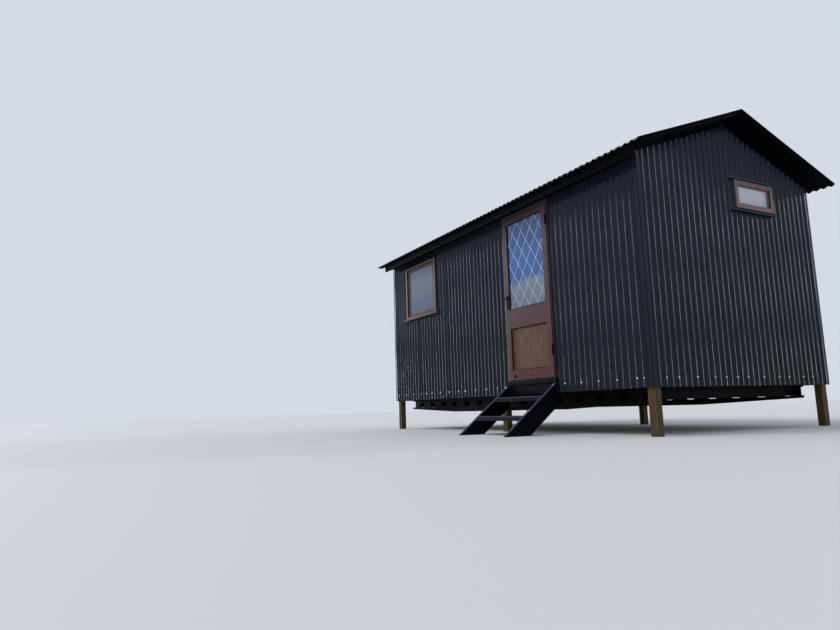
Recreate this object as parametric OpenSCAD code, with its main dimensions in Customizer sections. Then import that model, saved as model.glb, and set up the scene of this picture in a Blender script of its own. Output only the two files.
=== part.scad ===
// Shepherds hut: a corrugated steel cabin on timber posts, with a glazed door and timber steps.
// The door wall faces -Y, the gable with the small window faces +X, and the ground is at Z = 0.
// Depths into a wall are counted from the outer face of the corner trims.

/* [Body] */
// Length over the corner trims, along the door wall
body_l = 4850; // [4000:10:6000]
// Width over the corner trims, across the gable
body_w = 2484; // [2000:4:3000]
// Height of the cladding's lower edge above the ground
clad_bottom = 406; // [360:2:600]
// Height of a long wall, from the cladding's lower edge to the soffit
wall_h = 1999; // [1660:1:2400]
// Thickness of the timber walls behind the cladding
wall_t = 70; // [50:5:100]

/* [Cladding] */
// Distance from one corrugation to the next
pitch = 76.2; // [60:0.1:90]
// Depth of the corrugations
wave_d = 19; // [12:1:25]
// Thickness of the corrugated sheet
sheet_t = 1; // [0.8:0.1:1.5]
// Sideways shift of the corrugations on the gables
gable_shift = -16; // [-38:1:38]
// Thickness of the corner trims and of the ridge cap
trim_t = 1.5; // [1:0.5:3]
// Width of a corner trim on the long wall
trim_long = 112; // [80:2:160]
// Width of a corner trim on the gable
trim_gable = 84; // [60:2:140]
// How far the gable sheets lap up over the end rafters
gable_lap = 35; // [20:1:60]

/* [Roof] */
// Slope of the roof in degrees
roof_angle = 20.6; // [15:0.1:30]
// How far the sheets stand out past the long walls
eave_out = 178; // [150:1:240]
// How far the sheets stand out past the gables
gable_out = 203.4; // [120:0.1:300]
// Distance from the gable ends of the sheets to the ends of the boarding
verge_inset = 18; // [5:1:60]
// Depth of a rafter
rafter_d = 70; // [50:5:100]
// Width of a rafter
rafter_w = 45; // [35:5:60]
// Number of pairs of rafters
rafter_pairs = 9; // [6:1:12]
// Thickness of the boarding under the sheets
deck_t = 18; // [12:1:24]
// Thickness of the soffit boards
soffit_t = 9; // [6:1:15]
// How far the face of the fascia stands out from the wall
fascia_out = 137; // [100:1:140]
// How far the boarding stands out from the back wall, where there is no fascia
back_deck_out = 40; // [10:1:100]
// Thickness of the fascia
fascia_t = 20; // [15:1:30]
// Width of each wing of the ridge cap
cap_wing = 153; // [100:1:220]
// Thickness of the ridge board
ridge_t = 20; // [15:1:30]

/* [Floor and chassis] */
// Height of the floor joists
joist_h = 110; // [80:5:140]
// Width of a floor joist
joist_w = 45; // [35:5:60]
// Distance between the middle joists
joist_gap = 440; // [350:10:600]
// Thickness of the floor boards
floor_t = 20; // [15:1:30]
// How far the cladding hangs below the floor joists
clad_drop = 10; // [0:1:20]
// Depth of a chassis rail in the middle
rail_d = 180; // [150:5:220]
// Depth of a chassis rail at its ends
rail_end_d = 133; // [110:1:150]
// Length of the taper at each end of a rail
rail_taper = 1200; // [600:50:1500]
// Distance from a gable to the end of a rail
rail_inset = 150; // [60:10:300]
// Distance from the long wall to a rail
rail_depth_in = 200; // [180:5:400]
// Width of the flanges of a rail
rail_flange = 45; // [30:5:60]
// Height of the lips at the flanges' edges
rail_lip = 26; // [10:1:40]
// Thickness of the rail steel
rail_t = 4; // [3:0.5:6]
// Length of the oblong holes in the rails
hole_l = 130; // [80:5:150]
// Height of the oblong holes in the rails
hole_h = 68; // [40:2:76]
// Distance from one oblong hole to the next
hole_gap = 300; // [250:10:400]
// Depth of the hole centres below the top of a rail
hole_drop = 80; // [60:1:90]
// Sideways shift of the row of holes
hole_shift = 45; // [0:5:150]
// Side of a square timber post
post_w = 76; // [60:2:100]
// Distance from the trims to a corner post
post_inset = 24; // [22:1:60]
// Distance of the middle posts from the middle of the hut
mid_post_x = 135; // [0:5:300]

/* [Door] */
// Distance from the right corner to the door frame
door_from_right = 1200; // [900:10:1600]
// Width of the door leaf
leaf_w = 756; // [600:2:900]
// Thickness of the door leaf
leaf_t = 44; // [36:1:54]
// How far the leaf stands proud of the frame
leaf_out = 8; // [4:1:10]
// Gap between the leaf and its frame at the hinges, the sill and the head
leaf_gap = 6; // [5:0.5:8]
// Gap between the leaf and its frame on the lock side
lock_gap = 8; // [7.5:0.5:10]
// Width of the face of a jamb
jamb_w = 24; // [20:1:40]
// Width of a jamb that is left in sight beside the wall sheets
jamb_show = 8; // [4:1:18]
// Height of the face of the frame's head
head_h = 52; // [40:1:80]
// Width of a door stile
stile_w = 72; // [50:1:100]
// Height of the top rail
top_rail_h = 48; // [36:1:100]
// Height of the lock rail
lock_rail_h = 207; // [120:1:240]
// Height of the bottom rail
bottom_rail_h = 106; // [80:1:200]
// Height of the lower panel
panel_h = 458; // [300:1:600]
// Thickness of the lower panel
panel_t = 12; // [8:1:16]
// Thickness of every pane of glass
glass_t = 6; // [4:1:10]
// Depth of the glass and the panel behind the face of the leaf
bead_d = 16; // [10:1:20]
// Width of the beads round the glass and the panel
bead_w = 10; // [6:1:16]
// Depth of the grooves that hold glass and panel
groove = 8; // [5:1:12]
// Height of a hinge
hinge_h = 105; // [80:5:130]
// Outer radius of a hinge knuckle
knuckle_r = 7; // [5:0.5:7.5]
// Radius of a hinge pin
pin_r = 3; // [2:0.5:4]
// Thickness of a hinge plate
plate_t = 2; // [1.5:0.1:2.2]
// Width of a hinge plate
plate_w = 32; // [20:1:40]
// Running clearance round a pin or a spindle
run_gap = 0.08; // [0.05:0.01:0.1]
// Height of the sill board
sill_h = 42; // [30:1:60]
// How far the sill stands out from the wall
sill_out = 20; // [5:1:60]
// Height of the lock plates' feet above the foot of the leaf
lock_plate_up = 787; // [600:1:1000]
// Height of the lower hinges above the foot of the leaf
low_hinge_up = 225; // [150:5:300]
// Distance from the top of the leaf down to the upper hinge
high_hinge_drop = 110; // [80:5:200]
// Radius of the lever's spindle
spindle_r = 5; // [4:0.5:6]
// Reach of the lever from its spindle
lever_reach = 112; // [90:1:130]

/* [Windows] */
// Distance from the left corner to the window frame
window_from_left = 434; // [200:2:900]
// Width of the window frame
window_w = 870; // [500:5:1000]
// Height of the window frame
window_h = 735; // [400:5:1000]
// Distance from the soffit down to the window frame
window_drop = 99; // [60:1:300]
// Width of the window frame's sides
window_side = 105; // [60:1:130]
// Height of the window frame's head
window_head = 67; // [40:1:100]
// Height of the window frame's foot
window_foot = 55; // [40:1:100]
// How far the window frames stand proud of the trims
frame_out = 12; // [5:1:30]
// Depth of the window glass behind the face of the frame
glass_in = 18; // [10:1:30]
// Gap between the window frame and the sheets round it
window_gap = 5; // [1:1:10]
// Distance of the gable window from the middle of the gable
gable_window_y = 346; // [-400:2:400]
// Width of the gable window frame
gable_window_w = 575; // [300:5:700]
// Height of the gable window frame
gable_window_h = 280; // [200:5:400]
// Width of the gable window's frame members
gable_window_side = 46; // [36:1:80]
// Depth of the gable window's glass behind the face of its frame
gable_glass_in = 32; // [10:1:50]
// Distance from the soffit down to the gable window frame
gable_window_drop = 22; // [0:1:200]

/* [Steps] */
// How far the steps are wider than the door frame on each side
step_over = 5; // [0:1:20]
// Sideways shift of the steps from the middle of the door
step_shift = -14; // [-20:1:20]
// Slope of the stringers in degrees
step_angle = 37.8; // [33:0.1:45]
// Thickness of a stringer
stringer_t = 36; // [30:1:60]
// Upright depth of a stringer
stringer_d = 236; // [150:2:260]
// Height from one tread to the next
tread_rise = 190; // [160:2:200]
// Depth of a tread
tread_d = 165; // [120:5:165]
// Thickness of a tread
tread_t = 47; // [30:1:50]
// How far a tread stands out past the stringers' front edges
tread_nose = 2; // [0:1:20]
// Number of treads
treads = 2; // [1:1:2]

/* [Hidden] */
$fn = 48;

steel_colour = "#2c3138";
timber_colour = "#7d4a33";
ply_colour = "#8f6840";
post_colour = "#b08d5f";
stain_colour = "#26282b";
chassis_colour = "#3a3c40";
lining_colour = "#c9b48f";
iron_colour = "#17181a";
glass_colour = [0.75, 0.85, 0.9, 0.4];

// Gap left where one piece is seated on another
seat_gap = 0.3;
// Straight steps in one corrugation
wave_steps = 8;
// Distance from the ridge to the upper ends of the roof sheets
sheet_end_gap = 12;

// Vertical measure of a thickness taken square to the roof
function upright(d) = d / cos(roof_angle);
// Rise of the roof over a level distance
function rise(y) = y * tan(roof_angle);

sheet_face = trim_t + seat_gap;
skin = sheet_face + wave_d + sheet_t + seat_gap;
frame_l = body_l - 2 * skin;
joist_bottom = clad_bottom + clad_drop;
floor_bottom = joist_bottom + joist_h;
floor_top = floor_bottom + floor_t;
sill_lip = 7;
sill_top = floor_top + sill_lip;

// The steps reach out to the front as far as their slope takes them
stair_top = sill_top - sill_h;
step_out = stair_top / tan(step_angle);
total_w = step_out + body_w + eave_out;
front_y = step_out - total_w / 2;
mid_y = front_y + body_w / 2;

// Heights of the roof layers at the outer face of a long wall
soffit_z = clad_bottom + wall_h;
wall_top_z = soffit_z + upright(soffit_t);
rafter_z = wall_top_z + upright(seat_gap);
rafter_top_z = rafter_z + upright(rafter_d);
deck_z = rafter_top_z + upright(seat_gap);
sheet_z = deck_z + upright(deck_t + seat_gap);
crest_z = sheet_z + upright(wave_d + sheet_t);
roof_l = body_l + 2 * gable_out;
slope_l = (body_w / 2 + eave_out - sheet_end_gap) / cos(roof_angle);

// The front sheets end under the soffit and the back sheets under the boarding
front_clad_h = wall_h - 2;
back_clad_h = deck_z - clad_bottom - 1;
// Distance from the upper edge of a gable sheet down to the end of its corner trim
trim_drop = 5;

// The door frame, the leaf and the window along the door wall
frame_x1 = body_l / 2 - door_from_right;
leaf_x1 = frame_x1 - jamb_w - leaf_gap;
leaf_x0 = leaf_x1 - leaf_w;
frame_x0 = leaf_x0 - lock_gap - jamb_w;
show_x0 = frame_x0 + jamb_w - jamb_show;
show_x1 = frame_x1 - jamb_w + jamb_show;
step_x0 = frame_x0 + step_shift - step_over;
step_x1 = frame_x1 + step_shift + step_over;
leaf_z0 = sill_top + leaf_gap;
head_gap = 3;
head_top = soffit_z - head_gap;
leaf_z1 = head_top - head_h - leaf_gap;
leaf_y0 = -leaf_out;
leaf_y1 = leaf_t - leaf_out;
panel_z0 = leaf_z0 + bottom_rail_h;
panel_z1 = panel_z0 + panel_h;
pane_z0 = panel_z1 + lock_rail_h;
pane_z1 = leaf_z1 - top_rail_h;
pane_x0 = leaf_x0 + stile_w;
pane_x1 = leaf_x1 - stile_w;
window_x0 = -body_l / 2 + window_from_left;
window_x1 = window_x0 + window_w;
window_z1 = soffit_z - window_drop;
window_z0 = window_z1 - window_h;
gable_window_z1 = soffit_z - gable_window_drop;
gable_window_z0 = gable_window_z1 - gable_window_h;

// The hinge axis, just outside the face of the leaf
knuckle_gap = 0.5;
hinge_x = leaf_x1 + leaf_gap / 2;
hinge_y = leaf_y0 - knuckle_r - knuckle_gap;
hinge_z = [leaf_z0 + low_hinge_up, leaf_z1 - high_hinge_drop - hinge_h];

// The lock plates and the spindle of the lever, which passes through the stile
lock_shift = 10;
lock_x = leaf_x0 + stile_w / 2 + lock_shift;
lock_plate_w = 38;
lock_plate_h = 150;
lock_plate_t = 4;
lock_z = leaf_z0 + lock_plate_up;
spindle_up = 117;
spindle_z = lock_z + spindle_up;
plate_faces = [leaf_y0 - lock_plate_t, leaf_y1 + lock_plate_t];

module block(x0, x1, y0, y1, z0, z1) {
    translate([x0, y0, z0]) cube([x1 - x0, y1 - y0, z1 - z0]);
}

// Places what is drawn on a wall whose outer face is at y = 0
module at_front() {
    translate([0, front_y, 0]) children();
}
module at_back() {
    translate([0, front_y + body_w, 0]) mirror([0, 1, 0]) children();
}
module at_both() {
    at_front() children();
    at_back() children();
}
module at_right() {
    translate([body_l / 2, mid_y, 0]) rotate([0, 0, 90]) children();
}
module at_left() {
    translate([-body_l / 2, mid_y, 0]) mirror([1, 0, 0]) rotate([0, 0, 90]) children();
}

// Extrudes an outline of depths and heights along the hut
module along_x(x0, x1) {
    translate([x0, 0, 0]) rotate([90, 0, 90]) linear_extrude(x1 - x0) children();
}
// Extrudes an outline of widths and heights into a wall
module into_wall(y0, y1) {
    translate([0, y1, 0]) rotate([90, 0, 0]) linear_extrude(y1 - y0) children();
}

// Outline of a corrugated sheet from x0 to x1, with its crests at y = 0 and a crest at x = crest
module wave_outline(x0, x1, crest) {
    step = pitch / wave_steps;
    first = ceil((x0 - crest) / step + 0.01);
    last = floor((x1 - crest) / step - 0.01);
    xs = concat([x0], [for (i = [first : last]) crest + i * step], [x1]);
    function outer(x) = wave_d * (1 - cos(360 * (x - crest) / pitch)) / 2;
    polygon(concat(
        [for (x = xs) [x, outer(x)]],
        [for (i = [len(xs) - 1 : -1 : 0]) [xs[i], outer(xs[i]) + sheet_t]]
    ));
}

// Outline of a gable up to a line that starts z above the ground at the long walls' faces
module gable_outline(z, side, z0) {
    half = body_w / 2;
    flat = ridge_t / 2;
    polygon([
        [-half + side, z0], [half - side, z0],
        [half - side, z + rise(side)], [flat, z + rise(half - flat)],
        [-flat, z + rise(half - flat)], [-half + side, z + rise(side)]
    ]);
}

// A frame with a through opening and the groove that its pane sits in
module pane_frame(x0, x1, z0, z1, side, head, foot, y0, y1, pane_y) {
    difference() {
        block(x0, x1, y0, y1, z0, z1);
        block(x0 + side, x1 - side, y0 - 1, y1 + 1, z0 + foot, z1 - head);
        pane(x0, x1, z0, z1, side, head, foot, pane_y);
    }
}
module pane(x0, x1, z0, z1, side, head, foot, pane_y) {
    block(x0 + side - groove, x1 - side + groove, pane_y, pane_y + glass_t,
          z0 + foot - groove, z1 - head + groove);
}

function rail_x1() = body_l / 2 - rail_inset;
rail_top = joist_bottom;

// Outline of a rail seen from its side, between two depths below its top
module rail_outline(high, low) {
    x1 = rail_x1();
    x2 = x1 - rail_taper;
    polygon([
        [-x1, rail_top - rail_end_d + high], [-x2, rail_top - rail_d + high],
        [x2, rail_top - rail_d + high], [x1, rail_top - rail_end_d + high],
        [x1, rail_top - rail_end_d + low], [x2, rail_top - rail_d + low],
        [-x2, rail_top - rail_d + low], [-x1, rail_top - rail_end_d + low]
    ]);
}
// A lipped channel rail that is deepest in the middle, with a row of oblong holes in its web
module rail() {
    x1 = rail_x1();
    x2 = x1 - rail_taper;
    web = rail_depth_in + rail_flange;
    plain_end = 60;
    hole_count = floor((x1 - hole_shift - hole_l / 2 - plain_end) / hole_gap);
    difference() {
        into_wall(web - rail_t, web)
            polygon([
                [-x1, rail_top], [-x1, rail_top - rail_end_d], [-x2, rail_top - rail_d],
                [x2, rail_top - rail_d], [x1, rail_top - rail_end_d], [x1, rail_top]
            ]);
        for (i = [-hole_count : hole_count])
            translate([hole_shift + i * hole_gap, 0, rail_top - hole_drop])
                into_wall(web - rail_t - 1, web + 1) oblong();
    }
    into_wall(rail_depth_in, web) rail_outline(rail_t, 0);
    into_wall(rail_depth_in, rail_depth_in + rail_t) rail_outline(rail_lip, 0);
    block(-x1, x1, rail_depth_in, web, rail_top - rail_t, rail_top);
    block(-x1, x1, rail_depth_in, rail_depth_in + rail_t, rail_top - rail_lip, rail_top);
}
module oblong() {
    flat = hole_l - hole_h;
    square([flat, hole_h], center = true);
    for (side = [-1, 1]) translate([side * flat / 2, 0]) circle(d = hole_h);
}
module chassis_rails() {
    color(chassis_colour) at_both() rail();
}

// Channel cross members that butt against the webs of the rails, two of them at the rails' ends
module chassis_crossmembers() {
    cross_h = 100;
    cross_w = 45;
    cross_drop = 12;
    cross_gap = rail_taper + 300;
    cross_top = rail_top - cross_drop;
    y0 = front_y + rail_depth_in + rail_flange;
    y1 = front_y + body_w - rail_depth_in - rail_flange;
    end_x = rail_x1() - cross_w;
    color(chassis_colour)
    for (side = [-1, 1], x = [end_x, end_x - cross_gap])
        translate([side * x, y1, cross_top - cross_h]) mirror([side < 0 ? 1 : 0, 0, 0])
            rotate([90, 0, 0]) linear_extrude(y1 - y0)
                polygon([
                    [0, 0], [cross_w, 0], [cross_w, rail_t], [rail_t, rail_t],
                    [rail_t, cross_h - rail_t], [cross_w, cross_h - rail_t], [cross_w, cross_h], [0, cross_h]
                ]);
}

// Corner posts under the floor, and middle posts against the rails
module posts() {
    x1 = body_l / 2 - post_inset;
    depth = post_inset + 4;
    color(post_colour)
    at_both() {
        for (side = [-1, 1])
            block(side * (x1 - post_w / 2) - post_w / 2, side * (x1 - post_w / 2) + post_w / 2,
                  depth, depth + post_w, 0, joist_bottom);
        block(mid_post_x - post_w / 2, mid_post_x + post_w / 2,
              rail_depth_in - post_w, rail_depth_in, 0, joist_bottom);
    }
}

module floor_rims() {
    color(lining_colour)
    at_both() block(-frame_l / 2, frame_l / 2, skin, skin + joist_w, joist_bottom, floor_bottom);
}

// Joists between the rims: a pair at the gables and a row between them
module floor_joists() {
    end_x = frame_l / 2 - joist_w / 2;
    side_count = floor((end_x - joist_gap / 2 - joist_w) / joist_gap);
    row = [for (i = [0 : side_count]) joist_gap * (i + 0.5)];
    color(lining_colour)
    for (x = concat([end_x], row), side = [-1, 1])
        block(side * x - joist_w / 2, side * x + joist_w / 2,
              front_y + skin + joist_w + seat_gap, front_y + body_w - skin - joist_w - seat_gap,
              joist_bottom, floor_bottom);
}

module floor_deck() {
    color(lining_colour)
    block(-frame_l / 2, frame_l / 2, front_y + skin, front_y + body_w - skin, floor_bottom, floor_top);
}

// Long wall panel whose top follows the underside of the rafters
module long_wall(x0, x1, z0) {
    along_x(x0, x1)
        polygon([
            [skin, z0], [skin + wall_t, z0],
            [skin + wall_t, wall_top_z + rise(skin + wall_t)], [skin, wall_top_z + rise(skin)]
        ]);
}
module front_wall_left() {
    color(lining_colour)
    at_front() difference() {
        long_wall(-frame_l / 2, frame_x0, floor_top);
        block(window_x0, window_x1, 0, skin + wall_t + 1, window_z0, window_z1);
    }
}
module front_wall_right() {
    color(lining_colour) at_front() long_wall(frame_x1, frame_l / 2, floor_top);
}
module front_wall_over_door() {
    color(lining_colour) at_front() long_wall(frame_x0, frame_x1, head_top);
}
module back_wall() {
    color(lining_colour) at_back() long_wall(-frame_l / 2, frame_l / 2, floor_top);
}
module gable_wall() {
    into_wall(skin, skin + wall_t) gable_outline(wall_top_z, skin + wall_t + seat_gap, floor_top);
}
module left_gable_wall() {
    color(lining_colour) at_left() gable_wall();
}
module right_gable_wall() {
    color(lining_colour)
    at_right() difference() {
        gable_wall();
        gable_window_hole();
    }
}
module gable_window_hole() {
    block(gable_window_y - gable_window_w / 2, gable_window_y + gable_window_w / 2,
          0, skin + wall_t + 1, gable_window_z0, gable_window_z1);
}

// Corrugated sheets on the long walls, stopped short of the corners
module long_cladding(x0, x1, h) {
    translate([0, sheet_face, clad_bottom]) linear_extrude(h) wave_outline(x0, x1, pitch / 2);
}
cut_gap = 1;
clad_x1 = body_l / 2 - skin - cut_gap;
// The sheets beside the door lap over the jambs and are notched round the sill and the kick board
module sill_notch() {
    block(step_x0 - cut_gap, step_x1 + cut_gap, 0, skin, clad_bottom - 1, sill_top + cut_gap);
}
module front_cladding_left() {
    color(steel_colour)
    at_front() difference() {
        long_cladding(-clad_x1, show_x0 - cut_gap, front_clad_h);
        block(window_x0 - window_gap, window_x1 + window_gap, 0, skin,
              window_z0 - window_gap, window_z1 + window_gap);
        sill_notch();
    }
}
module front_cladding_right() {
    color(steel_colour)
    at_front() difference() {
        long_cladding(show_x1 + cut_gap, clad_x1, front_clad_h);
        sill_notch();
    }
}
module back_cladding() {
    color(steel_colour) at_back() long_cladding(-clad_x1, clad_x1, back_clad_h);
}

// Corrugated sheets on the gables, cut along the roof slopes
module gable_cladding() {
    half = body_w / 2;
    top = rafter_z + gable_lap + rise(half);
    intersection() {
        translate([0, sheet_face, clad_bottom])
            linear_extrude(top - clad_bottom)
                wave_outline(-half + skin + cut_gap, half - skin - cut_gap, gable_shift);
        into_wall(-1, skin) gable_outline(rafter_z + gable_lap, 0, clad_bottom - 1);
    }
}
module left_gable_cladding() {
    color(steel_colour) at_left() gable_cladding();
}
module right_gable_cladding() {
    color(steel_colour)
    at_right() difference() {
        gable_cladding();
        gable_window_hole();
    }
}

// Folded corner trims: a level top on the long wall and a sloping one on the gable
module corner_trim(h) {
    slope_z = rafter_z + gable_lap - trim_drop;
    translate([body_l / 2, 0, 0]) {
        block(-trim_long, 0, 0, trim_t, clad_bottom, clad_bottom + h);
        along_x(-trim_t, 0)
            polygon([
                [0, clad_bottom], [trim_gable, clad_bottom],
                [trim_gable, slope_z + rise(trim_gable)], [trim_t, slope_z + rise(trim_t)],
                [trim_t, clad_bottom + h], [0, clad_bottom + h]
            ]);
    }
}
module trim_pair(h) {
    corner_trim(h);
    mirror([1, 0, 0]) corner_trim(h);
}
module corner_trims() {
    color(steel_colour) {
        at_front() trim_pair(front_clad_h);
        at_back() trim_pair(back_clad_h);
    }
}

// A rafter from its plumb cut up to the ridge board
module rafter(x, tail) {
    top = body_w / 2 - ridge_t / 2 - seat_gap;
    along_x(x - rafter_w / 2, x + rafter_w / 2)
        polygon([
            [tail, rafter_z + rise(tail)], [top, rafter_z + rise(top)],
            [top, rafter_top_z + rise(top)], [tail, rafter_top_z + rise(tail)]
        ]);
}
// The front rafters end behind the fascia and the back ones behind the sheets
module rafters() {
    span = frame_l - rafter_w;
    color(lining_colour)
    for (i = [0 : rafter_pairs - 1]) {
        x = -span / 2 + i * span / (rafter_pairs - 1);
        at_front() rafter(x, fascia_t - fascia_out + seat_gap);
        at_back() rafter(x, skin);
    }
}
module ridge_board() {
    top = body_w / 2 - ridge_t / 2;
    color(lining_colour)
    translate([0, mid_y, 0])
        block(-frame_l / 2, frame_l / 2, -ridge_t / 2, ridge_t / 2,
              rafter_z + rise(top), rafter_top_z + rise(top));
}
// Boarding that runs out over both gables, nearly to the ends of the sheets
module deck_slope(low) {
    top = body_w / 2 - 1;
    x1 = roof_l / 2 - verge_inset;
    along_x(-x1, x1)
        polygon([
            [low, deck_z + rise(low)], [top, deck_z + rise(top)],
            [top, deck_z + upright(deck_t) + rise(top)], [low, deck_z + upright(deck_t) + rise(low)]
        ]);
}
module roof_deck() {
    color(stain_colour) {
        at_front() deck_slope(-fascia_out);
        at_back() deck_slope(-back_deck_out);
    }
}

// Corrugated roof sheet: its waves run down the slope from the ridge to past the fascia
module roof_sheet() {
    top = body_w / 2 - sheet_end_gap;
    translate([0, top, crest_z + rise(top)])
        rotate([90 + roof_angle, 0, 0])
            linear_extrude(slope_l) mirror([0, 1, 0]) wave_outline(-roof_l / 2, roof_l / 2, roof_l / 2);
}
module roof_sheet_front() {
    color(steel_colour) at_front() roof_sheet();
}
module roof_sheet_back() {
    color(steel_colour) at_back() roof_sheet();
}
module ridge_cap() {
    half = body_w / 2;
    reach = cap_wing * cos(roof_angle);
    low = crest_z + rise(half) + seat_gap;
    color(steel_colour)
    translate([0, mid_y, 0]) along_x(-roof_l / 2, roof_l / 2)
        polygon([
            [-reach, low - rise(reach)], [0, low], [reach, low - rise(reach)],
            [reach, low - rise(reach) + upright(trim_t)], [0, low + upright(trim_t)],
            [-reach, low - rise(reach) + upright(trim_t)]
        ]);
}
// The front eave is boxed in: this closes its end beside the end rafter
module eave_end() {
    back = fascia_t - fascia_out;
    along_x(frame_l / 2 + seat_gap, body_l / 2)
        polygon([
            [back, soffit_z + rise(back)], [-seat_gap, soffit_z],
            [-seat_gap, rafter_top_z], [back, rafter_top_z + rise(back)]
        ]);
}
module fascias() {
    back = fascia_t - fascia_out;
    foot = soffit_z + rise(-fascia_out);
    color(stain_colour)
    at_front() {
        along_x(-body_l / 2, body_l / 2)
            polygon([
                [-fascia_out, foot], [back, foot],
                [back, rafter_top_z + rise(back)], [-fascia_out, rafter_top_z + rise(-fascia_out)]
            ]);
        eave_end();
        mirror([1, 0, 0]) eave_end();
    }
}
module soffits() {
    front = fascia_t - fascia_out + seat_gap;
    back = skin - seat_gap;
    color(stain_colour)
    at_front() along_x(-frame_l / 2, frame_l / 2)
        polygon([
            [front, soffit_z + rise(front)], [back, soffit_z + rise(back)],
            [back, wall_top_z + rise(back)], [front, wall_top_z + rise(front)]
        ]);
}

// Jambs and head with the stops that the leaf closes against, narrower where the sheets lap over them
module door_frame() {
    stop = 12;
    stop_gap = 5;
    stop_y = leaf_y1 + stop_gap;
    depth = skin + wall_t;
    inner_x0 = frame_x0 + jamb_w;
    inner_x1 = frame_x1 - jamb_w;
    inner_z = head_top - head_h;
    color(timber_colour)
    at_front() difference() {
        union() {
            block(frame_x0, frame_x1, skin, depth, sill_top, head_top);
            block(show_x0, show_x1, 0, skin + 1, sill_top, head_top);
        }
        block(inner_x0, inner_x1, -1, stop_y, sill_top - 1, inner_z);
        block(inner_x0 + stop, inner_x1 - stop, -1, depth + 1, sill_top - 1, inner_z - stop);
    }
}
module door_sill() {
    back = skin - seat_gap;
    fall = 3;
    color(stain_colour)
    at_front() {
        along_x(step_x0, step_x1)
            polygon([
                [-sill_out, stair_top], [back, stair_top], [back, sill_top],
                [0, sill_top], [-sill_out, sill_top - fall]
            ]);
        block(frame_x0, frame_x1, back, skin + wall_t, floor_top + seat_gap, sill_top - seat_gap);
    }
}
module kick_board() {
    color(stain_colour)
    at_front() block(step_x0, step_x1, 0, skin - seat_gap, clad_bottom, stair_top);
}

// The door leaf: stiles, rails, a glazed upper light and a lower panel
module door_pane() {
    block(pane_x0 - groove, pane_x1 + groove, leaf_y0 + bead_d, leaf_y0 + bead_d + glass_t,
          pane_z0 - groove, pane_z1 + groove);
}
module lower_panel() {
    block(pane_x0 - groove, pane_x1 + groove, leaf_y0 + bead_d, leaf_y0 + bead_d + panel_t,
          panel_z0 - groove, panel_z1 + groove);
}
module door_stiles() {
    color(timber_colour)
    at_front() difference() {
        for (x = [leaf_x0, pane_x1]) block(x, x + stile_w, leaf_y0, leaf_y1, leaf_z0, leaf_z1);
        door_pane();
        lower_panel();
        spindle(spindle_r + run_gap, leaf_y0 - 1, leaf_y1 + 1);
    }
}
module door_rails() {
    color(timber_colour)
    at_front() difference() {
        for (z = [[leaf_z0, panel_z0], [panel_z1, pane_z0], [pane_z1, leaf_z1]])
            block(pane_x0, pane_x1, leaf_y0, leaf_y1, z[0], z[1]);
        door_pane();
        lower_panel();
    }
}
module door_glass() {
    color(glass_colour) at_front() door_pane();
}
module door_panel() {
    color(ply_colour) at_front() lower_panel();
}
module bead_ring(z0, z1) {
    difference() {
        block(pane_x0, pane_x1, leaf_y0 + bead_d / 3, leaf_y0 + bead_d, z0, z1);
        block(pane_x0 + bead_w, pane_x1 - bead_w, leaf_y0, leaf_y0 + bead_d + 1, z0 + bead_w, z1 - bead_w);
    }
}
module door_beads() {
    color(timber_colour)
    at_front() {
        bead_ring(pane_z0, pane_z1);
        bead_ring(panel_z0, panel_z1);
    }
}

// Butt hinges let into the gap beside the leaf: the frame carries the pin and the outer knuckles
module knuckle(z, r, h) {
    translate([hinge_x, hinge_y, z]) cylinder(r = r, h = h);
}
module frame_hinges() {
    third = hinge_h / 3;
    plate_x = frame_x1 - jamb_w - plate_t;
    color(iron_colour)
    at_front()
        for (z = hinge_z) {
            knuckle(z, pin_r, hinge_h);
            for (part = [0, 2]) {
                knuckle(z + part * third, knuckle_r, third);
                block(plate_x, plate_x + plate_t, hinge_y, 0, z + part * third, z + (part + 1) * third);
            }
            block(plate_x, plate_x + plate_t, leaf_y0, leaf_y0 + plate_w, z, z + hinge_h);
        }
}
module door_hinges() {
    third = hinge_h / 3;
    color(iron_colour)
    at_front()
        for (z = hinge_z)
            difference() {
                union() {
                    knuckle(z + third + knuckle_gap, knuckle_r, third - 2 * knuckle_gap);
                    block(leaf_x1, leaf_x1 + plate_t, hinge_y, 0,
                          z + third + knuckle_gap, z + 2 * third - knuckle_gap);
                    block(leaf_x1, leaf_x1 + plate_t, leaf_y0, leaf_y0 + plate_w, z, z + hinge_h);
                }
                knuckle(z - 1, pin_r + run_gap, hinge_h + 2);
            }
}

// A cylinder on the lever's axis between two depths
module spindle(r, y0, y1) {
    translate([lock_x, y0, spindle_z]) rotate([-90, 0, 0]) cylinder(r = r, h = y1 - y0);
}
// Long backplates on both faces of the leaf, bored for the lever's spindle
module lock_plates() {
    color(iron_colour)
    at_front() difference() {
        for (y = [plate_faces[0], leaf_y1])
            block(lock_x - lock_plate_w / 2, lock_x + lock_plate_w / 2, y, y + lock_plate_t,
                  lock_z, lock_z + lock_plate_h);
        spindle(spindle_r + run_gap, plate_faces[0] - 1, plate_faces[1] + 1);
    }
}
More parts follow.
